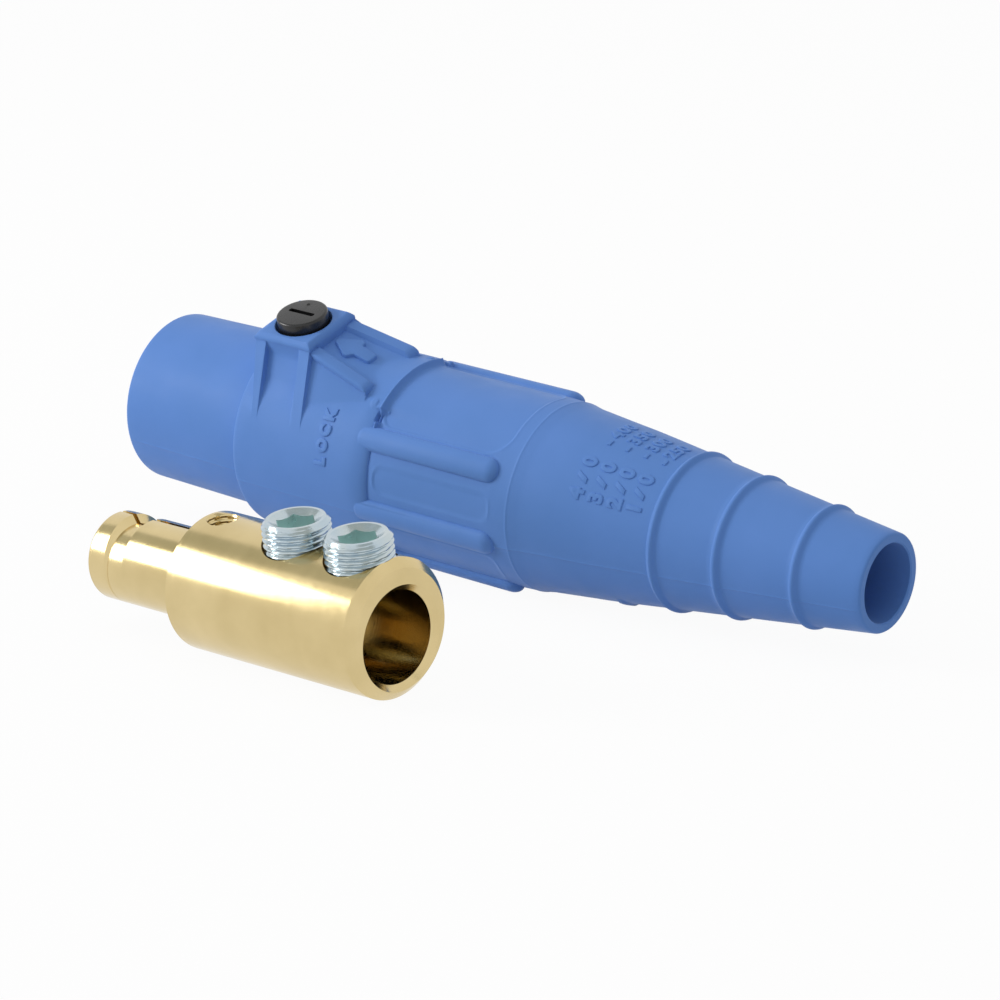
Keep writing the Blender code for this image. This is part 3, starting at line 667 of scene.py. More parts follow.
def outer_radius(station, angle):
    """The sleeve's outer radius at a station, angle from the boss."""
    radius = np.interp(station, OUTLINE[:, 0], OUTLINE[:, 1])
    turn = np.abs(angle)

    # The collar's apron over the top panel, with its bead and its drop
    past = station - APRON_END
    apron = COLLAR_RADIUS + APRON_BEAD * hump(past, 0.5 * MM)
    apron = apron - APRON_DROP * smooth((past - 0.1 * MM) / (0.8 * MM))
    inside = (1 - rise(turn, APRON_TURN, 0.03)) * (station > COLLAR_END - SHOULDER_LENGTH)
    inside = inside * (station < APRON_END + 1.5 * MM)
    swell = APRON_SWELL * (1 - rise(turn, APRON_TURN - 0.03, 0.12)) * (station > APRON_END)
    radius = radius + swell * (1 - smooth(past / (14 * MM)))
    raised = np.maximum(radius, GRIP_RADIUS + (apron - GRIP_RADIUS) * inside)
    radius = np.where(inside > 0, raised, radius)

    # Top panel, with a thin wall round it where the apron ends, and the notch at the wall's foot
    half = TOP_PANEL_TURN * GRIP_RADIUS - RIB_HALF_WIDTH - 0.6 * MM
    start, end = APRON_END + 0.8 * MM, GRIP_END - 3.6 * MM
    relief = recessed(station, turn * GRIP_RADIUS, start, end, half, (2.5 * MM, 5.0 * MM),
                      TOP_PANEL_DEPTH)
    radius = radius + relief * (radius < GRIP_RADIUS + 0.75 * MM)
    beside = between(turn, APRON_TURN, TOP_PANEL_TURN - 0.1, 0.05)
    radius = radius + TOP_PANEL_WALL * hump(past - 0.1 * MM, 0.55 * MM) * beside
    notch = rounded_box(station, (turn - NOTCH_TURN) * GRIP_RADIUS, 63.3 * MM, 0.5 * MM,
                        0.85 * MM, 0.3 * MM)
    radius = radius - NOTCH_DEPTH * (1 - rise(notch, 0.0, 0.3 * MM))

    # Panels between the ribs; the ones beside the top panel's ribs lie nearer to those ribs
    start, end = COLLAR_END + 1.5 * MM, GRIP_END - 4.7 * MM
    for middle, half in PANELS:
        across = (turn - middle) * GRIP_RADIUS
        radius = radius + recessed(station, across, start, end, half,
                                   (PANEL_CORNER, PANEL_CORNER), PANEL_DEPTH)

    # Button on the collar, parting line, and a short bar underneath
    button = np.hypot(station - 61.3 * MM, (turn - BUTTON_TURN) * COLLAR_RADIUS)
    on_collar = station < COLLAR_END + 0.7 * MM
    radius = radius + 0.22 * MM * (1 - rise(button, 0.8 * MM, 0.3 * MM)) * on_collar
    line = 0.07 * MM * hump(turn - PARTING_TURN, math.radians(0.75))
    open_wall = (station > MOUTH_ROUND) & (station < SLEEVE_LENGTH - 1 * MM)
    radius = radius + line * open_wall
    bar = rounded_box(station, (turn - BAR_TURN) * KNEE_RADIUS, 116.0 * MM, 0.9 * MM, 3.0 * MM,
                      0.8 * MM)
    return radius + 0.4 * MM * (1 - rise(bar, -0.2 * MM, 0.6 * MM))


# Boss: cross-sections of one side, each a line of (across, height) corners from the middle outward

def on_circle(turn, radius=COLLAR_RADIUS):
    return np.array((radius * math.sin(turn), radius * math.cos(turn)))


WALL_HALF = PLATE_HALF - LIP
GUSSET_TOP = np.array((WALL_HALF, PLATE_UNDERSIDE))
TOUCH_TURN = math.atan2(*GUSSET_TOP) + math.acos(COLLAR_RADIUS / math.hypot(*GUSSET_TOP))
TOUCH = on_circle(TOUCH_TURN)
PLATE_FRONT = BOSS_STATION - PLATE_HALF
PLATE_BACK = BOSS_STATION + PLATE_HALF
GUSSETS_FRONT = PLATE_FRONT + LIP
GUSSETS_BACK = PLATE_BACK - LIP

# Columns: steps between the boss's corners, the turns these columns have on the grip, and the turns
# of the columns below them, closer at panel edges and at the parting line
COLUMN_COUNTS = (7, 1, 1, 3, 3, 2, 2, 3, 7, 10, 8)
TOP_COLUMNS = sum(COLUMN_COUNTS[:7])
GRIP_TURNS = [math.radians(a) for a in (0, 9, 10.5, 12, 16.5, 19.5, 21, 22.5, 25.5, 33, 38.6)]
GRIP_TURNS += [TOUCH_TURN]
REST_TURNS = (56.6, 57.3, 77.1, 77.9, 83.2, 91.2, 91.6, 92.4, 92.8, 98.8, 100.4, 101.2, 125.3,
              126.1, 127.7, 143.3, 144.9, 145.7, 169.8, 170.6, 172.2, 180.0)
REST_COUNTS = (2, 1, 12, 1, 4, 4, 1, 4, 1, 3, 2, 1, 14, 1, 1, 5, 1, 1, 14, 1, 1, 4)


def gusset_point(share):
    return GUSSET_TOP + (TOUCH - GUSSET_TOP) * share


def gusset_wall():
    """A gusset's face: it runs straight down until it touches the collar."""
    foot = on_circle(RECESS_FOOT_TURN, COLLAR_RADIUS / math.cos(TOUCH_TURN - RECESS_FOOT_TURN))
    return [gusset_point(0.0), gusset_point(0.12), gusset_point(0.45), foot]


def recess_wall():
    inward = -RECESS_DEPTH * np.array((math.sin(TOUCH_TURN), math.cos(TOUCH_TURN)))
    return [gusset_point(0.0), gusset_point(0.12) + inward, gusset_point(0.45) + inward,
            on_circle(RECESS_FOOT_TURN)]


def plate_corners(top=BOSS_HEIGHT, edge=PLATE_EDGE_HEIGHT, reach=PLATE_HALF, bevel=PLATE_BEVEL):
    """The plate's half outline, down to its underside."""
    flat = reach - bevel
    across = (0.0, flat * 0.66, flat * 0.71, flat * 0.76, flat)
    return [(a, top) for a in across] + [(reach, edge), (reach, PLATE_UNDERSIDE)]


def ramp_corners(run, share=1.0):
    """The floor between the ramps and one ramp; share is how much of the ramp's height stands."""
    floor = RAMP_TOP - RAMP_PROUD - RAMP_SLOPE * run
    top = floor + RAMP_PROUD * share
    outer = WALL_HALF + RAMP_SPREAD * run / RAMP_LENGTH
    inner = outer - RAMP_WIDTH
    edge = 0.3 * MM
    return [(0.0, floor), (inner - 0.2 * MM, floor), (inner, floor + (top - floor) * 0.5),
            (inner + edge, top), (outer - edge, top), (outer, top - edge), (outer, top - 1.1 * MM)]


def ramp_wall(run):
    """The wall under a ramp, down to its foot on the collar."""
    station = PLATE_BACK + run
    head = np.array((WALL_HALF + RAMP_SPREAD * run / RAMP_LENGTH - 0.15 * MM,
                     RAMP_TOP - 1.35 * MM - RAMP_SLOPE * run))
    foot = on_circle(math.radians(37.0 - 0.8 * (station / MM - 47.0)))
    return [head + (foot - head) * share for share in (0.0, 0.12, 0.45, 1.0)]


def collar_corners(corners):
    """The same columns on the collar's round wall."""
    return [on_circle(math.atan2(a, h)) for a, h in corners]


# A gusset's inner edge: (offset in mm, share of the wall that stands) of the rows across it
GUSSET_EDGE = ((-0.06, 1.0), (0.0, 0.9), (0.04, 0.6), (0.08, 0.25), (0.14, 0.0))
ROW_GAP = 0.03 * MM


def boss_rows():
    """Rows of the boss: stations of plate and wall, corners of both, and how far the row leans.

    Rows with the gap ROW_GAP or less between them keep an edge crisp.
    """
    wall, recess = np.array(gusset_wall()), np.array(recess_wall())
    thin, gap = 0.01 * MM, ROW_GAP
    plate = plate_corners()
    low_edge = plate_corners(PLATE_EDGE_HEIGHT, PLATE_EDGE_HEIGHT - thin, PLATE_HALF, 0.05 * MM)
    level = plate_corners(PLATE_UNDERSIDE + thin, PLATE_UNDERSIDE + thin / 2, PLATE_HALF, 0.05 * MM)
    box = plate_corners(PLATE_UNDERSIDE, PLATE_UNDERSIDE - thin, WALL_HALF + thin, 0.05 * MM)
    on_wall = collar_corners(box + list(wall))
    rows = []

    def row(plate_at, wall_at, top, side, lean=GUSSET_LEAN):
        rows.append((plate_at, wall_at, np.array(top + list(side) + [TOUCH]), lean))

    def wall_lean(station):
        share = (station - GUSSETS_FRONT) / GUSSET_WIDTH
        return GUSSET_FRONT_LEAN + (GUSSET_LEAN - GUSSET_FRONT_LEAN) * min(max(share, 0.0), 1.0)

    # Front: the plate stands a lip further out than the gussets
    front, lean = GUSSETS_FRONT, GUSSET_FRONT_LEAN
    row(front - gap, front - gap, on_wall[:7], on_wall[7:], lean)
    row(front, front + gap, box, wall, lean)
    row(PLATE_FRONT, front + 2 * gap, level, wall, lean)
    row(PLATE_FRONT, front + 4 * gap, low_edge, wall, lean)
    row(PLATE_FRONT + PLATE_BEVEL, front + 12 * gap, plate, wall, lean)

    # Front gusset, recess and back gusset
    inner, outer = front + GUSSET_WIDTH, GUSSETS_BACK - GUSSET_WIDTH
    for station in np.linspace(front + 0.9 * MM, inner - 0.2 * MM, 4):
        row(station, station, plate, wall, wall_lean(station))
    for offset, share in GUSSET_EDGE:
        station = inner + offset * MM
        row(station, station, plate, recess + (wall - recess) * share)
    for station in np.linspace(inner + 0.5 * MM, outer - 0.5 * MM, 13):
        row(station, station, plate, recess)
    for offset, share in reversed(GUSSET_EDGE):
        station = outer - offset * MM
        row(station, station, plate, recess + (wall - recess) * share)
    back = GUSSETS_BACK
    for station in np.linspace(outer + 0.4 * MM, back - 0.75 * MM, 4):
        row(station, station, plate, wall)

    # Back of the plate, where the ramps start
    ramps, ramp_side = ramp_corners(0.0), np.array(ramp_wall(0.0))
    row(PLATE_BACK - PLATE_BEVEL, back - 12 * gap, plate, wall)
    row(PLATE_BACK, back - 4 * gap, low_edge, wall)
    row(PLATE_BACK, back - 2 * gap, level, wall)
    row(back, back, ramps, wall)
    row(back + 2 * gap, back + gap, ramps, ramp_side + (wall - ramp_side) * 0.6)
    row(back + 5 * gap, back + 3 * gap, ramps, ramp_side)

    # Ramps, with a round end
    rounding = 1.3 * MM
    runs = list(np.linspace(0.5 * MM, RAMP_LENGTH - rounding, 20))
    runs += [RAMP_LENGTH - rounding + rounding * math.sin(math.pi / 2 * k / 5) for k in range(1, 6)]
    for run in runs:
        past = max(0.0, run - RAMP_LENGTH + rounding) / rounding
        share = math.sqrt(max(0.0, 1.0 - past * past))
        lean = GUSSET_LEAN * max(0.0, 1.0 - run / (7.0 * MM))
        station = PLATE_BACK + run
        row(station, station, ramp_corners(run, share), ramp_wall(run), lean)
    station = PLATE_BACK + RAMP_LENGTH + 0.1 * MM
    last = collar_corners(ramp_corners(RAMP_LENGTH) + ramp_wall(RAMP_LENGTH))
    row(station, station, last[:7], last[7:], 0.0)
    return rows


def side_points(corners):
    """One side's points through its corners, with the same number of steps in every row."""
    points = []
    for start, end, count in zip(corners, corners[1:], COLUMN_COUNTS):
        points += [start + (end - start) * k / count for k in range(count)]
    return np.array(points)


def rest_turns():
    turns = []
    start = TOUCH_TURN
    for end, count in zip(REST_TURNS, REST_COUNTS):
        turns += list(np.linspace(start, math.radians(end), count + 1)[:-1])
        start = math.radians(end)
    return np.array(turns + [math.pi])


def lean_share(turn):
    """How much of a row's lean a point takes: none on the plate, all where the gussets end."""
    low = math.atan2(*GUSSET_TOP)
    turn_down = np.clip(turn, low, TOUCH_TURN)
    height = COLLAR_RADIUS * np.cos(turn_down) / np.cos(TOUCH_TURN - turn_down)
    down = (PLATE_UNDERSIDE - height) / (PLATE_UNDERSIDE - TOUCH[1])
    return np.clip(down, 0.0, 1.0) * (1.0 - smooth((turn - TOUCH_TURN) / math.radians(50.0)))


def spaced(*edges):
    """Stations through (edge, spacing) pairs: each spacing holds up to the next edge."""
    stations = []
    for (start, spacing), (end, _) in zip(edges, edges[1:]):
        count = max(1, round((end - start) / spacing))
        stations += list(np.linspace(start, end, count + 1)[:-1])
    return stations + [edges[-1][0]]


def plain_stations():
    """Rows away from the boss, closer where the form changes quickly."""
    rows = [p[0] for p in OUTLINE]
    rows += spaced((MOUTH_ROUND, 1.5 * MM), (COLLAR_START - 0.4 * MM, 1 * MM))
    rows += spaced((59.2 * MM, 0.4 * MM), (60.4 * MM, 0.16 * MM), (66.2 * MM, 0.5 * MM),
                   (67.5 * MM, 2.2 * MM), (GRIP_END - 9.5 * MM, 0.45 * MM),
                   (GRIP_END - 4.6 * MM, 0.2 * MM), (GRIP_END + 1.6 * MM, 1.2 * MM),
                   (KNEE_STATION, 1.0 * MM), (114.6 * MM, 0.25 * MM), (117.4 * MM, 1.2 * MM),
                   (SLEEVE_LENGTH - TAIL_EDGE, 1.0))
    rows = sorted(rows)
    keep = [rows[0]]
    for station in rows[1:]:
        if station - keep[-1] > ROW_GAP:
            keep.append(station)
    return keep


def sleeve_grid():
    """Points of the outside, one row for each station, columns all round."""
    rest = rest_turns()
    head = boss_rows()
    front_turns = [math.atan2(a, h) for a, h in head[0][2]]
    back_turns = [math.atan2(a, h) for a, h in head[-1][2]]
    column_ends = np.cumsum((0,) + COLUMN_COUNTS)
    columns = np.arange(column_ends[-1])
    rows = []

    def on_round(station, turn):
        radius = outer_radius(station, turn)
        return np.stack([station, radius * np.sin(turn), radius * np.cos(turn)], -1)

    def plain(station, turns):
        turn = np.concatenate([np.interp(columns, column_ends, turns), rest])
        return on_round(np.full(len(turn), station), turn)

    for station in plain_stations():
        if station < COLLAR_START + COLLAR_EDGE - 0.2 * MM:
            rows.append(plain(station, front_turns))
    rows.append(plain(GUSSETS_FRONT - 0.25 * MM, front_turns))
    for plate_at, wall_at, corners, lean in head:
        side = side_points(corners)
        turn = np.arctan2(side[:, 0], side[:, 1])
        at = np.where(columns < TOP_COLUMNS, plate_at, wall_at) + lean * lean_share(turn)
        reach = np.maximum(np.hypot(side[:, 0], side[:, 1]), outer_radius(at, turn))
        near = np.stack([at, reach * np.sin(turn), reach * np.cos(turn)], -1)
        rows.append(np.concatenate([near, on_round(wall_at + lean * lean_share(rest), rest)]))
    end = head[-1][0]
    for station in plain_stations():
        if station > end + 0.1 * MM:
            share = smooth((station - end) / (3.0 * MM))
            turns = [b + (g - b) * share for b, g in zip(back_turns, GRIP_TURNS)]
            rows.append(plain(station, turns))
    half = np.array(rows)
    mirrored = half[:, -2:0:-1] * np.array((1.0, -1.0, 1.0))
    whole = np.concatenate([mirrored, half], axis=1)
    return whole * np.array((1.0, -1.0, 1.0))


def soften(points, rows, rounds):
    """Round the moulded edges a little in some of the rows."""
    for _ in range(rounds):
        middle = points[rows.start:rows.stop]
        around = (np.roll(middle, 1, 1) + np.roll(middle, -1, 1)) / 2
        along = (points[rows.start - 1:rows.stop - 1] + points[rows.start + 1:rows.stop + 1]) / 2
        points[rows.start:rows.stop] = middle * 0.5 + (around + along) * 0.25
    return points


def sleeve_inside():
    """Stations and radii of the inside, from the cable end back to the mouth."""
    seat_start, seat_end = BOSS_STATION - 4.45 * MM, BOSS_STATION + 42.15 * MM
    cavity, seat, neck = MOUTH_RADIUS - 2.7 * MM, BARREL_RADIUS + 0.3 * MM, 12.2 * MM
    lip, tail = seat_start - 1.6 * MM, TAIL_RADIUS - TAIL_WALL
    return [(SLEEVE_LENGTH, TAIL_RADIUS - TAIL_EDGE - 0.1 * MM), (SLEEVE_LENGTH, tail + 0.25 * MM),
            (SLEEVE_LENGTH - 0.25 * MM, tail), (seat_end + 1.7 * MM, 11.2 * MM), (seat_end, seat),
            (seat_start, seat), (seat_start, neck), (lip, neck), (lip, cavity),
            (0.6 * MM, cavity), (0.15 * MM, cavity + 0.25 * MM), (0.0, cavity + 0.6 * MM)]


def make_sleeve():
    outer = sleeve_grid()
    stations = outer[:, 0, 0]
    first = int(np.searchsorted(stations, COLLAR_START + 0.2 * MM))
    last = int(np.searchsorted(stations, 61.5 * MM))
    outer = soften(outer, range(first, last), 1)

    inside = sleeve_inside()
    turn = np.arctan2(-outer[0, :, 1], outer[0, :, 2])
    inner = np.array([[(x, -r * math.sin(a), r * math.cos(a)) for a in turn] for x, r in inside])
    points = np.concatenate([outer, inner]).reshape(-1, 3)
    faces = grid_faces(len(outer) + len(inside), outer.shape[1], close_rows=True)
    sleeve = new_object("sleeve", points, faces)

    combine(sleeve, grow("grip_ribs", LONG_RIBS, {
        "Count": RIB_COUNT, "First turn": math.pi - RIB_SPACING * (RIB_COUNT - 1) / 2,
        "Turn step": RIB_SPACING, "Start": RIB_START, "End": RIB_END,
        "Half width": RIB_HALF_WIDTH, "Height": RIB_HEIGHT, "Centre radius": RIB_CENTRE}), "UNION")

    low, above, rim = 11.4 * MM, BOSS_HEIGHT + 4 * MM, POCKET_RADIUS + 0.14 * MM
    hole = [(low, 0.0), (low, SHANK_HOLE_RADIUS), (POCKET_FLOOR, SHANK_HOLE_RADIUS),
            (POCKET_FLOOR, POCKET_RADIUS), (BOSS_HEIGHT - 0.12 * MM, POCKET_RADIUS),
            (BOSS_HEIGHT + 0.02 * MM, rim), (above, rim), (above, 0.0)]
    combine(sleeve, upright(lathe("screw_hole", hole, 96), BOSS_STATION))
    return place(sleeve, SLEEVE, RUBBER, SLEEVE_BODY, "blue_rubber", "insulating_sleeve",
                 sharp=38.0)


def raised_text(name, text, size, station, turn, height, thicken, stretch):
    """Raised letters that read round the sleeve, their tops toward the mouth."""
    curve = bpy.data.curves.new(name, "FONT")
    adjust(curve, body=text, size=size, align_x="CENTER", align_y="CENTER", offset=thicken,
           extrude=0.05 * MM, bevel_depth=0.12 * MM, bevel_resolution=2, resolution_u=3)
    flat = add_object(name, curve)
    mesh = evaluated_mesh(flat)
    bpy.data.objects.remove(flat, do_unlink=True)

    points = np.array([v.co for v in mesh.vertices]) * (*stretch, 1.0)
    stations = station - points[:, 1]
    level = points[:, 2] / np.abs(points[:, 2]).max()
    near = outer_radius(stations, turn - points[:, 0] / GRIP_RADIUS)
    angles = turn - points[:, 0] / near
    foot = 0.3 * MM
    radii = near + np.where(level > 0, height * level, foot * level)
    for vertex, x, r, a in zip(mesh.vertices, stations, radii, angles):
        vertex.co = (x, -r * math.sin(a), r * math.cos(a))
    face_outward(mesh, 1e-6)
    letters = add_object(name, mesh)
    return place(letters, SLEEVE, RUBBER, SLEEVE_BODY, "blue_rubber", sharp=45.0)


def make_marks():
    for name, rows, turns, size, first, step, height, thicken, stretch in MARKS:
        for i, glyphs in enumerate(rows):
            for k, (glyph, turn) in enumerate(zip(glyphs, turns)):
                number = f"{k + 1}" if len(rows) == 1 else f"{i + 1}_{k + 1}"
                raised_text(f"{name}_{number}", glyph, size * MM, (first + step * i) * MM,
                            math.radians(turn), height * MM, thicken * MM,
                            SLASH_STRETCH if glyph == "/" else stretch)


def make_arrow():
    """The raised arrow plate on the floor between the ramps, pointing to the mouth; in mm."""
    outline = [(46.1, -0.5), (49.8, -3.4), (50.8, -2.9), (50.9, -1.9), (54.2, -1.7), (54.6, -1.3),
               (54.6, 1.0), (54.2, 1.3), (51.0, 1.3), (50.3, 2.7), (49.6, 2.8), (46.1, 0.5)]
    middle = 50.3
    sections = []
    for level, grow_by in ((-0.5 * MM, 0.0), (0.7 * MM, -0.06)):
        section = []
        for x, y in outline:
            x, y = (x - middle) * (1 + grow_by * 0.5) + middle, y * (1 + grow_by)
            height = RAMP_TOP - RAMP_PROUD - RAMP_SLOPE * (x * MM - PLATE_BACK)
            section.append(Vector((x * MM, -y * MM, height + level)))
        sections.append(section)
    arrow = loft("arrow_plate", sections)
    adjust(arrow.modifiers.new("round", "BEVEL"), width=0.2 * MM, segments=3)
    bake(arrow)
    return place(arrow, SLEEVE, RUBBER, SLEEVE_BODY, "blue_rubber")


# Screws

def set_screw(name, node, station):
    """A hollow-hex set screw; the walls of its socket carry a painted reflection, a paler
    teal-green zinc that stands in for the blue sleeve mirrored in them.
    """
    length, above = SET_SCREW_LENGTH, SET_SCREW_LENGTH + 1 * MM
    screw = grow(name, THREADED_ROD, {
        "Radius": SET_SCREW_RADIUS, "Length": length, "Pitch": 1.08 * MM, "Depth": 0.5 * MM,
        "Low chamfer": 1.1 * MM, "High chamfer": 0.85 * MM, "Rows": 130, "Material": ZINC})
    sink, rim = length - 1.0 * MM, 4.75 * MM
    cone = [(sink, 0.0), (sink, 3.3 * MM), (length, rim), (above, rim), (above, 0.0)]
    combine(screw, upright(lathe("countersink", cone, 96), 0.0))
    corner = SOCKET_FLATS / math.sqrt(3)
    turns = [math.pi * (k / 3 + 0.12) for k in range(6)]
    hexagon = [(corner * math.cos(a), corner * math.sin(a)) for a in turns]
    levels = (length - SOCKET_DEPTH, above)
    combine(screw, loft("socket", [[Vector((x, y, h)) for x, y in hexagon] for h in levels]))
    matrix = CONTACT @ Matrix.Translation((station, 0.0, SET_SCREW_SEAT))
    place(screw, matrix, ZINC, node, "zinc_plated_steel", node)
    # The second material is the painted reflection of the blue sleeve, given to the socket's faces
    # below
    screw.data.materials.append(SOCKET_PAINTED_REFLECTION)
    low, high = length - SOCKET_DEPTH - 0.2 * MM, length - 0.2 * MM
    inverse = matrix.inverted()
    for face in screw.data.polygons:
        centre = inverse @ face.center
        inside = math.hypot(centre.x, centre.y) < corner * 1.001
        face.material_index = int(inside and low < centre.z < high)
    return screw


def retaining_screw():
    """A slotted nylon screw with a moulding dimple beside its slot."""
    under = HEAD_TOP - HEAD_HEIGHT
    screw = grow("slotted_screw", THREADED_ROD, {
        "Radius": 2.85 * MM, "Length": under - SHANK_TIP + 0.5 * MM, "Pitch": 1.27 * MM,
        "Depth": 0.45 * MM, "Low chamfer": 0.6 * MM, "Rows": 90, "Material": NYLON})
    screw.data.transform(Matrix.Translation((0.0, 0.0, SHANK_TIP)))
    chamfer = 0.2 * MM
    profile = [(under, 0.0), (under, HEAD_RADIUS - chamfer), (under + chamfer, HEAD_RADIUS)]
    profile += quarter_round(HEAD_TOP - HEAD_EDGE, HEAD_RADIUS - HEAD_EDGE, HEAD_EDGE,
                             math.pi / 2, 0.0)
    profile += [(HEAD_TOP, 0.0)]
    combine(screw, upright(lathe("head", profile, 96), 0.0), "UNION")

    outline = []
    for side in (1, -1):
        for k in range(7):
            a = -math.pi / 2 + math.pi * k / 6
            outline.append((side * (SLOT_HALF_LENGTH + 0.3 * MM * math.cos(a)),
                            side * SLOT_HALF_WIDTH * math.sin(a)))
    levels = (HEAD_TOP - SLOT_DEPTH, HEAD_TOP + 1 * MM)
    combine(screw, loft("slot", [[Vector((x, y, h)) for x, y in outline] for h in levels]))
    dimple = upright(lathe("dimple", [(-0.35 * MM, 0.0), (-0.2 * MM, 0.3 * MM), (0.0, 0.42 * MM),
                                      (0.4 * MM, 0.42 * MM), (0.4 * MM, 0.0)], 24), 0.0)
    dimple.data.transform(Matrix.Translation((-0.6 * MM, 2.9 * MM, HEAD_TOP)))
    combine(screw, dimple)
    matrix = SLEEVE @ Matrix.Translation((BOSS_STATION, 0.0, BOSS_HEIGHT))
    return place(screw, matrix, NYLON, "retaining_screw", "black_nylon", "retaining_screw")


# Contact

def cam_groove():
    """What an off-centre turned groove takes away: deepest beside the slit, nothing opposite it."""
    depth, turn, reach = 1.55 * MM, math.radians(35.0), 12 * MM
    near, far = CONTACT_LENGTH - 9.2 * MM, CONTACT_LENGTH - 3.3 * MM
    ring = lathe("groove", [(near, 0.0), (near, reach), (far, reach), (far, 0.0)], 96)
    neck = PIN_RADIUS - depth / 2
    start, end = near - 1 * MM, far + 0.4 * MM
    core = lathe("groove_core", [(start, 0.0), (start, neck), (far - 1.6 * MM, neck),
                                 (end, neck + 2.6 * MM), (end, 0.0)], 160)
    aside = (0.0, depth / 2 * math.sin(turn), -depth / 2 * math.cos(turn))
    core.data.transform(Matrix.Translation(aside))
    combine(ring, core)
    return ring


def make_contact():
    chamfer, edge, tip_edge = 1.6 * MM, 0.5 * MM, 0.6 * MM
    shoulder, tip = BARREL_LENGTH, CONTACT_LENGTH
    profile = [(0.0, 0.0), (0.0, BARREL_RADIUS - chamfer - 0.05 * MM),
               (0.03 * MM, BARREL_RADIUS - chamfer),
               (chamfer - 0.03 * MM, BARREL_RADIUS - 0.02 * MM),
               (chamfer + 0.05 * MM, BARREL_RADIUS),
               (shoulder - edge, BARREL_RADIUS), (shoulder, BARREL_RADIUS - edge),
               (shoulder, PIN_RADIUS + 0.2 * MM), (shoulder + 0.2 * MM, PIN_RADIUS)]
    profile += quarter_round(tip - tip_edge, PIN_RADIUS - tip_edge, tip_edge, math.pi / 2, 0.0, 8)
    profile += [(tip, 0.0)]
    contact = lathe("contact", profile, 192)

    sink = 1.1 * MM
    bore = [(-sink, 0.0), (-sink, BORE_RADIUS + 2 * sink), (sink, BORE_RADIUS),
            (BORE_DEPTH, BORE_RADIUS), (BORE_DEPTH + BORE_RADIUS * 0.6, 0.0)]
    combine(contact, lathe("bore", bore, 160, -BORE_OFFSET))
    top = 14 * MM
    for station in SET_SCREW_STATIONS:
        hole = [(0.0, 0.0), (0.0, SET_SCREW_HOLE), (top, SET_SCREW_HOLE), (top, 0.0)]
        combine(contact, upright(lathe("screw_hole", hole, 96), station))
    tap = grow("tapped_hole", THREADED_ROD, {
        "Radius": 3.15 * MM, "Length": 10.0 * MM, "Pitch": 1.0 * MM, "Depth": 0.4 * MM,
        "Low chamfer": 1.5 * MM, "Rows": 80, "Material": TURNED_BRASS})
    tap.data.transform(Matrix.Translation((TAPPED_STATION, 0.0, 4.1 * MM)))
    combine(contact, tap)
    combine(contact, cam_groove())

    half, low, high = 0.45 * MM, -1.8 * MM, 10 * MM
    corners = [(-half, low), (half, low), (half, high), (-half, high)]
    ends = (tip - SLIT_LENGTH, tip + 1 * MM)
    slit = loft("slit", [[Vector((x, y, h)) for y, h in corners] for x in ends])
    slit.data.transform(Matrix.Rotation(SLIT_TURN, 4, "X"))
    combine(contact, slit)
    return place(contact, CONTACT, TURNED_BRASS, SLEEVE_BODY, "turned_brass", "brass_contact")


make_sleeve()
make_arrow()
make_marks()
retaining_screw()
set_screw("front_set_screw", "set_screw_front", SET_SCREW_STATIONS[0])
set_screw("rear_set_screw", "set_screw_rear", SET_SCREW_STATIONS[1])
make_contact()


# Floor, world, lights and camera

def white_for_camera(tree, shader_output, share):
    """Show white to camera, glossy and transmission rays, keeping some of the shader's shadow."""
    path = tree.nodes.new("ShaderNodeLightPath")
    seen = sum_up(tree, "MAXIMUM", path.outputs["Is Camera Ray"], path.outputs["Is Glossy Ray"])
    seen = sum_up(tree, "MAXIMUM", seen, path.outputs["Is Transmission Ray"])
    white = tree_node(tree, "ShaderNodeEmission", {"Color": (1.0, 1.0, 1.0, 1.0), "Strength": 1.0})
    mix = tree_node(tree, "ShaderNodeMixShader", {"Fac": sum_up(tree, "MULTIPLY", seen, share)})
    tree.links.new(shader_output, mix.inputs[1])
    tree.links.new(white.outputs[0], mix.inputs[2])
    return mix.outputs[0]


def level_sheet(name, low, high, height):
    """A level rectangle between two corners."""
    (x, y), (right, far) = low, high
    corners = [(x, y, height), (right, y, height), (right, far, height), (x, far, height)]
    return new_object(name, corners, [(0, 1, 2, 3)])


def make_floor():
    size = 3.0
    floor = level_sheet("floor", (-size, -size), (size, size), 0.0)
    material, tree, shader = new_material("pale_floor", (0.8, 0.8, 0.8), 0.9)
    output = tree.nodes["Material Output"]
    tree.links.new(white_for_camera(tree, shader.outputs[0], 0.95), output.inputs["Surface"])
    floor.data.materials.append(material)


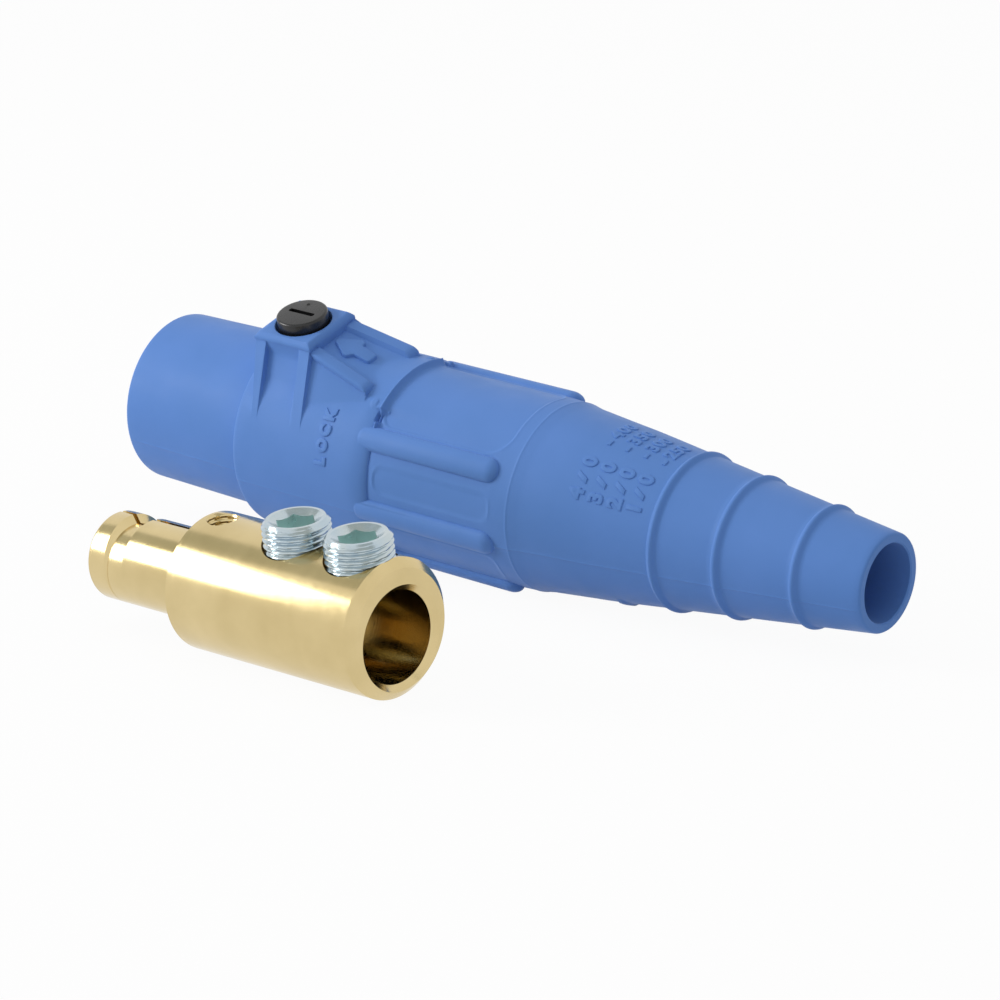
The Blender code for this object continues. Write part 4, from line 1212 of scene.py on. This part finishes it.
def make_grey_card():
    """A grey card above the object that only its metal and gloss reflect."""
    card = level_sheet("grey_card", (-2.4, -0.56), (0.8, 0.12), 1.1)
    material, _, shader = new_material("grey_card", (0.0, 0.0, 0.0), 1.0)
    set_sockets(shader, {"Emission Color": (0.55, 0.57, 0.54, 1.0), "Emission Strength": 1.0})
    card.data.materials.append(material)
    adjust(card, visible_camera=False, visible_diffuse=False, visible_shadow=False)


def make_world():
    world = bpy.data.worlds.new("studio")
    world.use_nodes = True
    tree = world.node_tree
    background = tree.nodes["Background"]
    set_sockets(background, {"Color": (1.0, 1.0, 1.0, 1.0), "Strength": 0.47})
    output = tree.nodes["World Output"]
    tree.links.new(white_for_camera(tree, background.outputs[0], 1.0), output.inputs["Surface"])
    bpy.context.scene.world = world


def area_light(name, location, target, size, power, in_gloss=True):
    light = bpy.data.lights.new(name, "AREA")
    adjust(light, energy=power, shape="SQUARE", size=size)
    turn = (Vector(target) - Vector(location)).to_track_quat("-Z", "Y").to_euler()
    adjust(add_object(name, light), location=location, visible_glossy=in_gloss, rotation_euler=turn)


def make_camera():
    target = mouth + Vector(VIEW_TARGET)
    back = Vector((math.sin(VIEW_AZIMUTH) * math.cos(VIEW_ELEVATION),
                   -math.cos(VIEW_AZIMUTH) * math.cos(VIEW_ELEVATION), math.sin(VIEW_ELEVATION)))
    camera = bpy.data.cameras.new("camera")
    lens = FOCAL_PIXELS * SENSOR_WIDTH / PHOTO_PIXELS
    adjust(camera, sensor_width=SENSOR_WIDTH, lens=lens, clip_start=0.05)
    obj = add_object("camera", camera)
    turn = back.to_track_quat("Z", "Y").to_euler()
    adjust(obj, location=target + back * VIEW_DISTANCE, rotation_euler=turn)
    bpy.context.scene.camera = obj


make_floor()
make_world()
area_light("key_softbox", (-0.86, -0.61, 0.49), (0, 0, 0.02), 0.5, 7.0)
area_light("overhead_fill", (-0.1, -0.1, 1.0), (0, 0, 0), 1.2, 2.6, in_gloss=False)
make_grey_card()
make_camera()
bpy.context.scene.view_settings.view_transform = "Standard"
